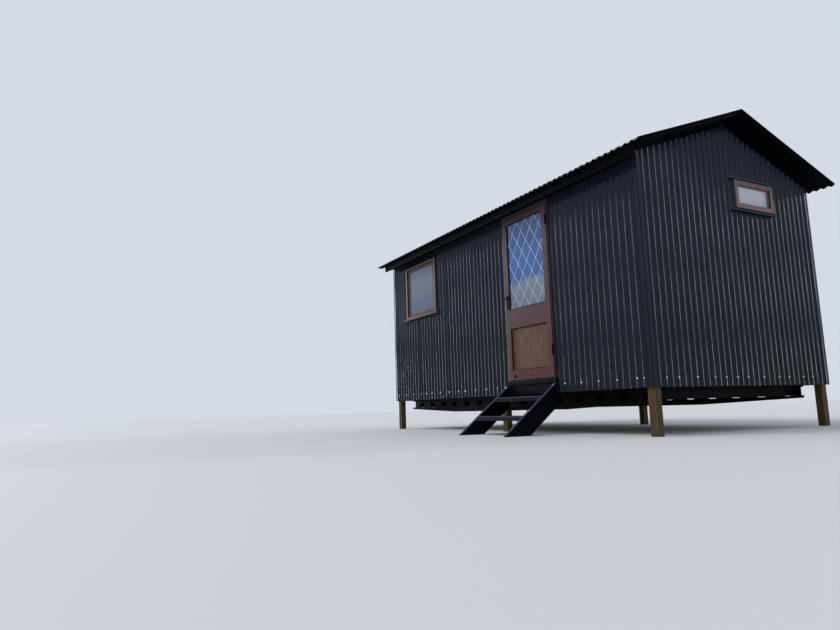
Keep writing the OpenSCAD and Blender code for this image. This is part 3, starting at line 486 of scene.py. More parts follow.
# The colour's setting or sRGB code, the metallic share, the roughness, the skin's grain and depth in
# millimetres, and the options
METALS = {
    # Near-black sprayed paint with a few blooms of rust
    "Painted chassis steel": ("chassis", 0.0, 0.52, 4.0, 0.10, {"rust": 0.2, "shine": 0.05}),
    # Lacquered black with a hammered skin
    "Black iron": ("#040506", 0.0, 0.36, 3.0, 0.12, {"shine": 0.05}),
    # Dull red-brown, rough to the touch
    "Rusted iron": ("#150605", 0.0, 0.60, 3.0, 0.25, {"shine": 0.05}),
    # Bright points along the foot of the walls
    "Zinc-plated screw": ("#d3d6d9", 1.0, 0.26, 1.5, 0.02, {}),
    # Pale bluish lines, a painted reflection of the sky on the lead, with a weathered skin
    "Lead strip": ("#c3ccd8", 0.0, 0.40, 3.0, 0.08, {}),
}

# The painted reflection's tint at the foot and at the top, the clear share and the heights of foot and top
PANES = {
    # Painted reflection of the sky: milky grey below and clear blue above
    "Door glass": ("#768799", "#3a64a3", 0.10, 1.33, 2.30),
    # Painted reflection of the sky: pale and milky all over
    "Gable glass": ("#cad3df", "#d6dee8", 0.18, 2.10, 2.80),
    # Painted reflection of the sky: grey with a faint blue towards the foot
    "Window glass": ("#596d88", "#69788a", 0.18, 1.57, 2.40),
}

# Finishes that several pieces carry, with the plain face first
LINED = ["Softwood lining", "Black bitumen paint"]
STAINED = ["Black stained softwood", "Scuffed stained edge"]
PLANED = ["Oiled hardwood", "Worn hardwood edge"]


def colour_of(source, factor=1.0):
    """Give a finish setting's colour or that of an sRGB code, made lighter or darker."""
    colour = linear(source) if source.startswith("#") else getattr(bpy.context.scene.hut_finishes, source)
    return tone(colour, factor)


def finish(name):
    """Give the finish of this name, making it when it is first asked for."""
    ready = bpy.data.materials.get(name)
    if ready:
        return ready
    if name in STEELS:
        return painted_steel(name, *STEELS[name])
    if name in TIMBERS:
        source, factor, ring, contrast, gloss, options = TIMBERS[name]
        return timber(name, colour_of(source, factor), ring, contrast, gloss, **options)
    if name in METALS:
        source, metallic, gloss, grain_mm, relief, options = METALS[name]
        return worked_metal(name, colour_of(source), metallic, gloss, grain_mm, relief, **options)
    if name in PANES:
        low_reflection_tint, high_reflection_tint, clear, foot, top = PANES[name]
        return float_glass(name, linear(low_reflection_tint), linear(high_reflection_tint), clear, foot, top)
    raise RuntimeError("no finish is called " + name)


def add_piece(name, bm, finishes, body, stands_for=(), modifiers=()):
    """Turn a mesh in the making into a piece of the hut."""
    mesh = bpy.data.meshes.new(name)
    bm.to_mesh(mesh)
    bm.free()
    piece = bpy.data.objects.new(name, mesh)
    bpy.context.scene.collection.objects.link(piece)
    for label in finishes:
        mesh.materials.append(finish(label))
    for kind, values in modifiers:
        modifier = piece.modifiers.new(kind.title(), kind)
        for key, value in values.items():
            setattr(modifier, key, value)
    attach(piece, body)
    if stands_for:
        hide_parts(*stands_for)
    return piece


def finish_node(node, label):
    """Give a piece of the frame its finish."""
    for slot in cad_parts[node].material_slots:
        slot.material = finish(label)


def new_mesh():
    """Start a mesh that carries the grain of each board."""
    bm = bmesh.new()
    bm.verts.layers.float_vector.new("grain")
    return bm


def add_plank(bm, corners, sweep, grain, edge, segments=2, face_finish=0, edge_finish=0):
    """Add a board: its outline swept square to itself, with eased edges and its own grain."""
    earlier = set(bm.verts)
    outline = bm.faces.new([bm.verts.new(corner) for corner in corners])
    swept = bmesh.ops.extrude_face_region(bm, geom=[outline])
    moved = [part for part in swept["geom"] if isinstance(part, bmesh.types.BMVert)]
    bmesh.ops.translate(bm, vec=Vector(sweep), verts=moved)
    board = [vert for vert in bm.verts if vert not in earlier]
    faces = list({face for vert in board for face in vert.link_faces})
    bmesh.ops.recalc_face_normals(bm, faces=faces)
    for face in faces:
        face.material_index = face_finish
    if edge:
        edges = list({line for face in faces for line in face.edges})
        eased = bmesh.ops.bevel(bm, geom=edges, offset=edge, offset_type="OFFSET", segments=segments,
                                profile=0.5, affect="EDGES", material=-1, clamp_overlap=True)
        for face in eased["faces"]:
            face.smooth = True
            face.material_index = edge_finish
        board = [vert for vert in bm.verts if vert not in earlier]
    along = Vector(grain).normalized()
    across = along.orthogonal().normalized()
    third = along.cross(across)
    # Every board is cut from another place in the tree
    seed = sum(board[0].co) * 37.0 + len(earlier)
    shift = Vector((noise.noise((seed, 0.3, 0.7)) * 9, 0.045 + noise.noise((0.2, seed, 0.4)) * 0.09,
                    0.030 + noise.noise((0.6, 0.1, seed)) * 0.09))
    layer = bm.verts.layers.float_vector["grain"]
    for vert in board:
        vert[layer] = Vector((vert.co.dot(along), vert.co.dot(across), vert.co.dot(third))) + shift
    return board


def paint_faces(bm, way, reach, finish_place=1):
    """Give another of the piece's finishes to the faces that look one way, from a plane at reach outwards."""
    way = Vector(way).normalized()
    bm.normal_update()
    for face in bm.faces:
        if face.normal.dot(way) > 0.9 and face.calc_center_median().dot(way) > reach:
            face.material_index = finish_place


def add_board(bm, low, high, grain, edge, **options):
    """Add a square-cut board between two corners."""
    x0, y0, z0 = low
    x1, y1, z1 = high
    corners = [(x0, y0, z0), (x1, y0, z0), (x1, y1, z0), (x0, y1, z0)]
    return add_plank(bm, corners, (0, 0, z1 - z0), grain, edge, **options)


def add_ring(bm, x0, x1, z0, z1, y0, y1, width, edge, **options):
    """Add four mitred strips round the inside of an opening in a wall that faces -Y."""
    outer = [(x0, z0), (x1, z0), (x1, z1), (x0, z1)]
    inner = [(x0 + width, z0 + width), (x1 - width, z0 + width),
             (x1 - width, z1 - width), (x0 + width, z1 - width)]
    for side in range(4):
        after = (side + 1) % 4
        flat = [outer[side], outer[after], inner[after], inner[side]]
        corners = [(x, y0, z) for x, z in flat]
        grain = (1, 0, 0) if side % 2 == 0 else (0, 0, 1)
        add_plank(bm, corners, (0, y1 - y0, 0), grain, edge, **options)


def move_mesh(bm, place):
    """Carry a whole mesh from a wall's own frame to the hut's."""
    bmesh.ops.transform(bm, matrix=place, verts=bm.verts[:])


def cut(bm, point, normal, drop=False):
    """Cut a mesh along a plane, and drop what lies on the normal's side if asked."""
    everything = bm.verts[:] + bm.edges[:] + bm.faces[:]
    bmesh.ops.bisect_plane(bm, geom=everything, dist=1e-6, plane_co=point, plane_no=normal, clear_outer=drop)


def add_row(bm, points):
    """Add a row of edges through the points."""
    verts = [bm.verts.new(point) for point in points]
    return [bm.edges.new(pair) for pair in zip(verts, verts[1:])]


def sweep_row(bm, edges, way):
    """Sweep a row of edges along, and give the new verts and the edges between them."""
    grown = bmesh.ops.extrude_edge_only(bm, edges=edges)["geom"]
    verts = [part for part in grown if isinstance(part, bmesh.types.BMVert)]
    fresh = set(verts)
    edges = [part for part in grown if isinstance(part, bmesh.types.BMEdge) and fresh.issuperset(part.verts)]
    bmesh.ops.translate(bm, vec=way, verts=verts)
    return verts, edges


def smooth_sheet(bm):
    """Shade a folded or pressed sheet smooth, with crisp cut edges."""
    for face in bm.faces:
        face.smooth = True
    for line in bm.edges:
        line.smooth = not line.is_boundary


def corrugate(bm, x0, x1, z0, z1, crest, openings=(), levels=7):
    """Add lapped corrugated sheets in a wall's own frame, with their crests on the outside."""
    sizes = bpy.context.scene.hut_cladding
    pitch = sizes.pitch
    step = pitch / 16
    start = x0
    while start < x1 - step:
        stop = start + (sizes.cover + 1.2) * pitch
        last = x1 - stop < 2 * pitch
        stop = x1 if last else stop
        first_step = math.ceil((start - crest) / step + 0.05)
        last_step = math.floor((stop - crest) / step - 0.05)
        xs = [start] + [crest + index * step for index in range(first_step, last_step + 1)] + [stop]
        row = []
        for x in xs:
            lap = 0.0 if last else 0.0009 * max(0.0, (x - start) / (stop - start) - 0.4) / 0.6
            wave = sizes.depth * (1 - math.cos(math.tau * (x - crest) / pitch)) / 2
            row.append((x, SHEET_FACE + wave + lap, z0))
        edges = add_row(bm, row)
        for level in range(levels):
            edges = sweep_row(bm, edges, (0, 0, (z1 - z0) / levels))[1]
        start = stop if last else start + sizes.cover * pitch
    for vert in bm.verts:
        wander = noise.noise((vert.co.x * 7, vert.co.z * 1.7, crest * 50))
        vert.co.y += sizes.unevenness * wander
    for ox0, ox1, oz0, oz1 in openings:
        cut(bm, (ox0, 0, 0), (1, 0, 0))
        cut(bm, (ox1, 0, 0), (1, 0, 0))
        cut(bm, (0, 0, oz0), (0, 0, 1))
        cut(bm, (0, 0, oz1), (0, 0, 1))
        hole = [face for face in bm.faces if ox0 < face.calc_center_median().x < ox1
                and oz0 < face.calc_center_median().z < oz1]
        bmesh.ops.delete(bm, geom=hole, context="FACES")


def face_outwards(bm):
    """Turn a sheet's faces to the outside of its own wall and keep its cut edges crisp."""
    bm.normal_update()
    inward = [face for face in bm.faces if face.normal.y > 0]
    bmesh.ops.reverse_faces(bm, faces=inward)
    smooth_sheet(bm)


def sheet_modifiers(under=0):
    """Give a sheet its thickness on the inner side, whose finish comes under places later in the list."""
    return [("SOLIDIFY", {"thickness": bpy.context.scene.hut_cladding.thickness, "offset": -1.0,
                          "material_offset": under})]


def screw_shape(bm, radius, segments=12):
    """Turn a dome-headed screw with its washer, standing on the XY plane."""
    profile = [(radius, 0.0), (radius * 0.97, 0.0014), (radius * 0.62, 0.0020), (radius * 0.56, 0.0046),
               (radius * 0.30, 0.0064), (0.0, 0.0069)]
    verts = [bm.verts.new((x, 0, z)) for x, z in profile]
    edges = [bm.edges.new(pair) for pair in zip(verts, verts[1:])]
    bmesh.ops.spin(bm, geom=verts + edges, cent=(0, 0, 0), axis=(0, 0, 1), angle=math.tau,
                   steps=segments, use_merge=True)
    bmesh.ops.remove_doubles(bm, verts=bm.verts[:], dist=1e-6)
    bmesh.ops.recalc_face_normals(bm, faces=bm.faces[:])
    for face in bm.faces:
        face.smooth = True


def scatter(bm, places):
    """Copy the shape in the mesh to each place, and drop the pattern that they were copied from."""
    pattern = bm.verts[:] + bm.edges[:] + bm.faces[:]
    pattern_verts = bm.verts[:]
    for place in places:
        copy = bmesh.ops.duplicate(bm, geom=pattern)["geom"]
        verts = [part for part in copy if isinstance(part, bmesh.types.BMVert)]
        bmesh.ops.transform(bm, matrix=place, verts=verts)
    bmesh.ops.delete(bm, geom=pattern_verts, context="VERTS")


def add_screws(name, places, label="Zinc-plated screw", radius=None, body="hut"):
    """Set dome-headed screws at the given places, whose Z points out of the surface."""
    bm = bmesh.new()
    screw_shape(bm, radius or bpy.context.scene.hut_cladding.screw_radius)
    scatter(bm, places)
    return add_piece(name, bm, [label], body)


def on_wall(wall, x, depth, z):
    """Give a place on a wall, with Z pointing out of it."""
    return wall @ Matrix.Translation((x, depth, z)) @ FACING_OUT


def crest_places(wall, xs, z):
    """Give screw places on the crests of a wall's sheets."""
    return [on_wall(wall, x, SHEET_FACE, z) for x in xs]


class HutPart:
    """What the operators of the hut's parts share."""

    bl_options = {"REGISTER", "UNDO"}


class HUT_OT_wall_sheets(HutPart, bpy.types.Operator):
    """Clad the four walls in lapped corrugated sheets"""

    bl_idname = "hut.wall_sheets"
    bl_label = "Wall sheets"

    def execute(self, context):
        pitch = context.scene.hut_cladding.pitch
        window_low, window_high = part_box("window_frame")
        gap = 0.005
        window = (window_low.x - gap, window_high.x + gap, window_low.z - gap, window_high.z + gap)
        sill = (KICK_LOW.x - 0.001, KICK_HIGH.x + 0.001, CLAD_Z - 0.01, DOOR_LOW.z + 0.001)
        for node, wall, openings in (("front_cladding_left", FRONT, [window, sill]),
                                     ("front_cladding_right", FRONT, [sill]), ("back_cladding", BACK, [])):
            low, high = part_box(node)
            bm = bmesh.new()
            corrugate(bm, low.x, high.x, low.z, high.z, pitch / 2, openings)
            face_outwards(bm)
            move_mesh(bm, wall)
            add_piece(node.replace("cladding", "sheets"), bm, ["Painted wall steel"], "hut",
                      [node], sheet_modifiers())
        # The gable sheets are cut along both roof slopes
        light_low, light_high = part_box("gable_window_frame")
        light = (light_low.y - MID_Y, light_high.y - MID_Y, light_low.z, light_high.z)
        for node, wall, crest, openings in (("right_gable_cladding", RIGHT, -GABLE_CREST, [light]),
                                            ("left_gable_cladding", LEFT, GABLE_CREST, [])):
            low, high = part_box(node)
            half = (high.y - low.y) / 2
            bm = bmesh.new()
            corrugate(bm, -half, half, low.z, high.z, crest, openings)
            for side in (-1, 1):
                cut(bm, (side * HALF_W, 0, LAP_Z), (side * math.sin(SLOPE), 0, math.cos(SLOPE)), drop=True)
            face_outwards(bm)
            move_mesh(bm, wall)
            add_piece(node.replace("cladding", "sheets"), bm, ["Painted wall steel"], "hut",
                      [node], sheet_modifiers())
        return {"FINISHED"}


class HUT_OT_wall_screws(HutPart, bpy.types.Operator):
    """Fix the wall sheets with dome-headed screws on their crests"""

    bl_idname = "hut.wall_screws"
    bl_label = "Wall screws"

    def execute(self, context):
        sizes = context.scene.hut_cladding
        low_z = CLAD_Z + sizes.screw_height
        below_edge = 0.055
        below_slope = 0.050
        first = sizes.pitch / 2 + 29 * sizes.pitch
        # The crests that carry a screw, counted from the right on the long walls
        door_wall = [first - sizes.pitch * count for count in
                     (0, 3, 6, 9, 12, 25, 27, 30, 33, 36, 38, 41, 44, 47, 49, 51, 54, 57)]
        high_door_wall = [x for x in door_wall if not DOOR_LOW.x < x < DOOR_HIGH.x]
        door_wall += [first + sizes.pitch, -first - sizes.pitch]
        gable = [-GABLE_CREST + sizes.pitch * count for count in
                 (-14, -12, -9, -6, -4, -2, 0, 3, 6, 8, 11, 13)]
        back_wall = [first - sizes.pitch * count for count in range(0, 59, 3)]
        places = crest_places(FRONT, door_wall, low_z)
        places += crest_places(BACK, back_wall, low_z)
        places += crest_places(RIGHT, gable, low_z)
        places += crest_places(LEFT, [-x for x in gable], low_z)
        add_screws("lower_wall_screws", places)
        # The upper row sits just below the soffit and the roof slopes, and was painted with the sheets
        upper = crest_places(FRONT, high_door_wall, CLAD_TOP - below_edge)
        upper += crest_places(BACK, back_wall, BACK_TOP - below_edge)
        for wall, way in ((RIGHT, 1), (LEFT, -1)):
            for x in gable:
                upper += crest_places(wall, [x * way], LAP_Z + rise(HALF_W - abs(x)) - below_slope)
        add_screws("upper_wall_screws", upper, "Painted wall steel")
        return {"FINISHED"}


class HUT_OT_corner_trims(HutPart, bpy.types.Operator):
    """Fold the corner trims, with a small bend and hemmed edges"""

    bl_idname = "hut.corner_trims"
    bl_label = "Corner trims"

    def execute(self, context):
        wing, bend, hem, steps = 0.045, 0.0035, 0.0018, 4
        lap_top = LAP_Z - 0.005
        # Each point gives the distance from the hut's end and the depth behind the long wall's face
        long_wing = [(-wing, hem), (-wing, 0.0004), (-wing + 0.006, 0.0), (-wing + 0.008, 0.0006),
                     (-wing / 2, 0.0006)]
        for step in range(steps + 1):
            turn = step / steps * math.pi / 2
            long_wing.append((-bend + bend * math.sin(turn), bend - bend * math.cos(turn)))
        gable_wing = [(0.0, bend), (0.0, wing - 0.008), (0.0, wing - 0.006), (-0.0004, wing), (-hem, wing)]
        bm = bmesh.new()
        for side_x in (-1, 1):
            for side_y in (-1, 1):
                top = CLAD_TOP if side_y < 0 else BACK_TOP
                for path in (long_wing, gable_wing):
                    row = [(side_x * (END_X + x), MID_Y + side_y * (HALF_W - depth), CLAD_Z)
                           for x, depth in path]
                    verts = sweep_row(bm, add_row(bm, row), (0, 0, top - CLAD_Z))[0]
                    for vert in verts:
                        if path is gable_wing:
                            vert.co.z = lap_top + rise(HALF_W - abs(vert.co.y - MID_Y))
        centre = Vector((0, MID_Y, 1.4))
        bm.normal_update()
        inward = []
        for face in bm.faces:
            middle = face.calc_center_median() - centre
            outward = Vector((math.copysign(1, middle.x), math.copysign(1, middle.y), 0))
            if face.normal.dot(outward) < 0:
                inward.append(face)
            # Painted shade: the bend and a few millimetres each side are black, for the dark line down the
            # fold
            fold = abs(middle.x) > END_X - bend - 0.001 and abs(middle.y) > HALF_W - bend - 0.001
            face.material_index = 1 if fold else 0
        bmesh.ops.reverse_faces(bm, faces=inward)
        smooth_sheet(bm)
        add_piece("folded_corner_trims", bm, ["Painted wall steel", "Black bitumen paint"], "hut",
                  ["corner_trims"], sheet_modifiers())
        return {"FINISHED"}


class HUT_OT_roof_sheets(HutPart, bpy.types.Operator):
    """Lay the corrugated roof sheets, the ridge cap and their screws"""

    bl_idname = "hut.roof_sheets"
    bl_label = "Roof sheets"

    def execute(self, context):
        sizes = context.scene.hut_cladding
        pitch = sizes.pitch
        run = (HALF_W + EAVE_OUT) / math.cos(SLOPE)
        gap = 0.012 / math.cos(SLOPE)
        slopes = ((FRONT_ROOF, ROOF_X), (BACK_ROOF, -ROOF_X))
        for node, (slope, crest) in zip(("roof_sheet_front", "roof_sheet_back"), slopes):
            bm = bmesh.new()
            corrugate(bm, -ROOF_X, ROOF_X, -run, -gap, crest)
            bmesh.ops.translate(bm, vec=(0, -SHEET_FACE + sizes.unevenness, 0), verts=bm.verts[:])
            face_outwards(bm)
            # Painted shade: the last half-corrugation at each gable end is black, for the dark verge
            for face in bm.faces:
                face.material_index = 1 if abs(face.calc_center_median().x) > ROOF_X - pitch / 2 else 0
            move_mesh(bm, slope)
            add_piece(node + "s", bm, ["Painted roof steel", "Black bitumen paint"], "hut",
                      [node], sheet_modifiers(1))
        # Three lengths of cap, lapped, each with a rounded ridge and hemmed edges
        wing = (CAP_HIGH.y - CAP_LOW.y) / 2
        bend, sheet_t, hem_t, pieces, overlap = 0.012, 0.0004, 0.0013, 3, 0.06
        half_profile = [(-wing, -rise(wing)), (-wing + 0.002, rise(0.002 - wing) + hem_t),
                        (-wing + 0.010, rise(0.010 - wing) + hem_t),
                        (-wing + 0.013, rise(0.013 - wing) + sheet_t),
                        (-bend, -rise(bend) + sheet_t), (-bend / 2, -rise(bend) * 0.62 + sheet_t)]
        profile = half_profile + [(0.0, -rise(bend) * 0.50 + sheet_t)]
        profile += [(-y, z) for y, z in reversed(half_profile)]
        bm = bmesh.new()
        length = 2 * ROOF_X / pieces
        for index in range(pieces):
            lap = overlap if index < pieces - 1 else 0.0
            lift = 0.0005 if index != 1 else 0.0
            row = [(-ROOF_X + index * length, MID_Y + y, RIDGE_Z + SEAT + lift + z) for y, z in profile]
            sweep_row(bm, add_row(bm, row), (length + lap, 0, 0))
        bm.normal_update()
        bmesh.ops.reverse_faces(bm, faces=[face for face in bm.faces if face.normal.z < 0])
        smooth_sheet(bm)
        add_piece("ridge_capping", bm, ["Painted roof steel"], "hut", ["ridge_cap"],
                  [("SOLIDIFY", {"thickness": sheet_t, "offset": -1.0})])
        # One row of screws holds the cap and three the sheets, each so far down the slope and so deep
        rows = ((0.110, -0.0016), (0.62, 0.0004), (1.05, 0.0004), (run - 0.055, 0.0004))
        places = []
        for slope, crest in slopes:
            way = -1 if crest > 0 else 1
            for count in range(1, 69, 3):
                x = crest + way * count * pitch
                places += [on_wall(slope, x, depth, -distance) for distance, depth in rows]
        add_screws("roof_screws", places, "Painted roof steel")
        return {"FINISHED"}


def roof_outline(near, far, foot, head):
    """Outline a member that follows the roof: its depths behind a long wall's face, its foot and its head."""
    return [(near, foot + rise(near)), (far, foot + rise(far)),
            (far, head + rise(far)), (near, head + rise(near))]


class HUT_OT_eaves(HutPart, bpy.types.Operator):
    """Fit the rafters, roof boards, fascias, soffits and boxed ends of the eaves"""

    bl_idname = "hut.eaves"
    bl_label = "Eaves"

    def execute(self, context):
        edge = context.scene.hut_joinery.edge
        rafter_low, rafter_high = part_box("rafters")
        rafter_z = WALL_TOP + upright(SEAT)
        rafter_top = rafter_z + upright(0.070)
        deck_z = rafter_top + upright(SEAT)
        frame_x = WALL_LOW.x
        rafter_w, rafters = 0.045, 9
        head = HALF_W - 0.010 - SEAT
        bay = (rafter_high.x - rafter_low.x - rafter_w) / (rafters - 1)
        bm = new_mesh()
        # The front rafters end behind the fascia, and the back ones behind the sheets
        for side, tail in ((-1, FASCIA_T - FASCIA_OUT + SEAT), (1, SKIN)):
            grain = (0, -side * math.cos(SLOPE), math.sin(SLOPE))
            for count in range(rafters):
                x = rafter_low.x + count * bay
                corners = [(x, MID_Y + side * (HALF_W - depth), z)
                           for depth, z in roof_outline(tail, head, rafter_z, rafter_top)]
                add_plank(bm, corners, (rafter_w, 0, 0), grain, edge)
        for side in (-1, 1):
            paint_faces(bm, (side, 0, 0), rafter_high.x - SKIM)
        add_piece("planed_rafters", bm, LINED, "hut", ["rafters"])
        board_low, board_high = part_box("ridge_board")
        bm = new_mesh()
        add_board(bm, board_low, board_high, (1, 0, 0), edge)
        for side in (-1, 1):
            paint_faces(bm, (side, 0, 0), board_high.x - SKIM)
        add_piece("planed_ridge_board", bm, LINED, "hut", ["ridge_board"])
        # The roof boards run along the hut and out over both gables, with a small groove between them
        bm = new_mesh()
        deck_low, deck_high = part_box("roof_deck")
        top = HALF_W - 0.001
        joint = 0.0004
        for side, low, count in ((-1, -FASCIA_OUT, 12), (1, -BACK_DECK_OUT, 11)):
            width = (top - low) / count
            for index in range(count):
                near = low + index * width
                outline = roof_outline(near, near + width - joint, deck_z, deck_z + upright(DECK_T))
                corners = [(deck_low.x, MID_Y + side * (HALF_W - depth), z) for depth, z in outline]
                add_plank(bm, corners, (deck_high.x - deck_low.x, 0, 0), (1, 0, 0), 0.002, segments=1)
        add_piece("roof_boards", bm, ["Black bitumen paint"], "hut", ["roof_deck"])
        bm = new_mesh()
        back = FASCIA_T - FASCIA_OUT
        outline = [(-FASCIA_OUT, SOFFIT_Z + rise(-FASCIA_OUT)), (back, SOFFIT_Z + rise(-FASCIA_OUT)),
                   (back, rafter_top + rise(back)), (-FASCIA_OUT, rafter_top + rise(-FASCIA_OUT))]
        corners = [(-END_X, FRONT_Y + depth, z) for depth, z in outline]
        add_plank(bm, corners, (2 * END_X, 0, 0), (1, 0, 0), edge)
        # The boxed ends close the eaves beside the soffit
        outline = [(back, SOFFIT_Z + rise(back)), (-SEAT, SOFFIT_Z), (-SEAT, rafter_top),
                   (back, rafter_top + rise(back))]
        for end in (-1, 1):
            x0 = end * (-frame_x + SEAT)
            corners = [(x0, FRONT_Y + depth, z) for depth, z in outline]
            add_plank(bm, corners, (end * END_X - x0, 0, 0), (0, 1, 0), edge)
        add_piece("painted_fascias", bm, ["Black bitumen paint"], "hut", ["fascias"])
        bm = new_mesh()
        outline = roof_outline(back + SEAT, SKIN - SEAT, SOFFIT_Z, WALL_TOP)
        lengths, joint = 3, 0.001
        length = -2 * frame_x / lengths
        for index in range(lengths):
            corners = [(frame_x + index * length, FRONT_Y + depth, z) for depth, z in outline]
            add_plank(bm, corners, (length - joint, 0, 0), (1, 0, 0), 0.001, segments=1)
        add_piece("painted_soffits", bm, ["Black bitumen paint"], "hut", ["soffits"])
        return {"FINISHED"}


class HUT_OT_door_frame(HutPart, bpy.types.Operator):
    """Make the door frame with its stops, the sill and the kick board"""

    bl_idname = "hut.door_frame"
    bl_label = "Door frame"

    def execute(self, context):
        edge = context.scene.hut_joinery.edge
        low, high = DOOR_LOW, DOOR_HIGH
        jamb, show, head_h, stop, stop_depth = 0.024, 0.008, 0.052, 0.012, 0.041
        behind = FRONT_Y + SKIN
        bm = new_mesh()
        for x, way in ((low.x, 1), (high.x, -1)):
            # The wall sheets lap over all but the inner strip of each jamb's face
            outline = [(0, behind), (jamb - show, behind), (jamb - show, low.y),
                       (jamb, low.y), (jamb, high.y), (0, high.y)]
            corners = [(x + way * out, y, low.z) for out, y in outline]
            add_plank(bm, corners, (0, 0, high.z - low.z), (0, 0, 1), edge)
        inner_z = high.z - head_h
        add_board(bm, (low.x + jamb, low.y + SETBACK, inner_z), (high.x - jamb, high.y, high.z), (1, 0, 0),
                  edge)
        for x in (low.x + jamb, high.x - jamb - stop):
            add_board(bm, (x, FRONT_Y + stop_depth, low.z), (x + stop, high.y, inner_z), (0, 0, 1), edge)
        add_board(bm, (low.x + jamb + stop, FRONT_Y + stop_depth, inner_z - stop),
                  (high.x - jamb - stop, high.y, inner_z), (1, 0, 0), edge)
        add_piece("door_lining", bm, ["Oiled hardwood"], "hut", ["door_frame"])
        bm = new_mesh()
        back = behind - SEAT
        sill_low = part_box("door_sill")[0]
        outline = [(sill_low.y, KICK_HIGH.z), (back, KICK_HIGH.z), (back, low.z), (FRONT_Y, low.z),
                   (sill_low.y, low.z - 0.003)]
        corners = [(KICK_LOW.x, y, z) for y, z in outline]
        add_plank(bm, corners, (KICK_HIGH.x - KICK_LOW.x, 0, 0), (1, 0, 0), 0.003, edge_finish=1)
        add_board(bm, (low.x, back, FLOOR_TOP + SEAT), (high.x, high.y, low.z - SEAT), (1, 0, 0), edge)
        add_piece("sill_board", bm, STAINED, "hut", ["door_sill"])
        bm = new_mesh()
        add_board(bm, *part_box("kick_board"), (1, 0, 0), 0.002, edge_finish=1)
        add_piece("kick_plank", bm, STAINED, "hut", ["kick_board"])
        return {"FINISHED"}


class HUT_OT_door_leaf(HutPart, bpy.types.Operator):
    """Make the leaf: stiles, rails, the veneered lower panel and the mitred beads"""

    bl_idname = "hut.door_leaf"
    bl_label = "Door leaf"

    def execute(self, context):
        edge = context.scene.hut_joinery.edge
        bead, rounding = context.scene.hut_joinery.bead, 0.0032
        # How far the beads lie behind the leaf's two faces
        outer_rebate, inner_rebate = 0.0053, 0.004
        low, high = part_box("door_stiles")
        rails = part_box("door_rails")
        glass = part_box("door_glass")
        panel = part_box("door_panel")
        x0, x1 = rails[0].x, rails[1].x
        pane_z0, pane_z1 = glass[0].z + GROOVE, glass[1].z - GROOVE
        panel_z0, panel_z1 = panel[0].z + GROOVE, panel[1].z - GROOVE
        bm = new_mesh()
        add_board(bm, low, (x0, high.y, high.z), (0, 0, 1), edge, edge_finish=1)
        add_board(bm, (x1, low.y, low.z), high, (0, 0, 1), edge, edge_finish=1)
        # Painted shade: the stiles' faces in the reveals take the darkened hardwood
        paint_faces(bm, (1, 0, 0), x0 - SKIM, 2)
        paint_faces(bm, (-1, 0, 0), -x1 - SKIM, 2)
        # Painted shade: only the faces towards the rails are dark, and not the leaf's outer edges
        for face in bm.faces:
            inner = x0 - 2 * SKIM < face.calc_center_median().x < x1 + 2 * SKIM
            if face.material_index == 2 and not inner:
                face.material_index = 0
        add_piece("leaf_stiles", bm, PLANED + ["Aged hardwood bead"], "door",
                  ["door_stiles"])
        setback = 0.0003
        bm = new_mesh()
        for z0, z1 in ((low.z, panel_z0), (panel_z1, pane_z0), (pane_z1, high.z)):
            add_board(bm, (x0, low.y + setback, z0), (x1, high.y - setback, z1), (1, 0, 0), edge,
                      edge_finish=1)
        # Painted shade: the rails' faces towards the glass and panel take the darkened hardwood
        bm.normal_update()
        for face in bm.faces:
            inside = low.z + 2 * SKIM < face.calc_center_median().z < high.z - 2 * SKIM
            if abs(face.normal.z) > 0.9 and inside:
                face.material_index = 2
        add_piece("leaf_rails", bm, PLANED + ["Aged hardwood bead"], "door", ["door_rails"])
        bm = new_mesh()
        add_board(bm, *panel, (0, 0, 1), 0.0008, segments=1)
        add_piece("leaf_panel", bm, ["Veneered panel"], "door", ["door_panel"])
        bm = new_mesh()
        # Painted shade: the beads are the darkened hardwood
        for z0, z1, sheet in ((pane_z0, pane_z1, glass), (panel_z0, panel_z1, panel)):
            for y0, y1 in ((low.y + outer_rebate, sheet[0].y - CLEAR),
                           (sheet[1].y + CLEAR, high.y - inner_rebate)):
                add_ring(bm, x0, x1, z0, z1, y0, y1, bead, rounding, segments=3)
        add_piece("leaf_beads", bm, ["Aged hardwood bead"], "door", ["door_beads"])
        return {"FINISHED"}


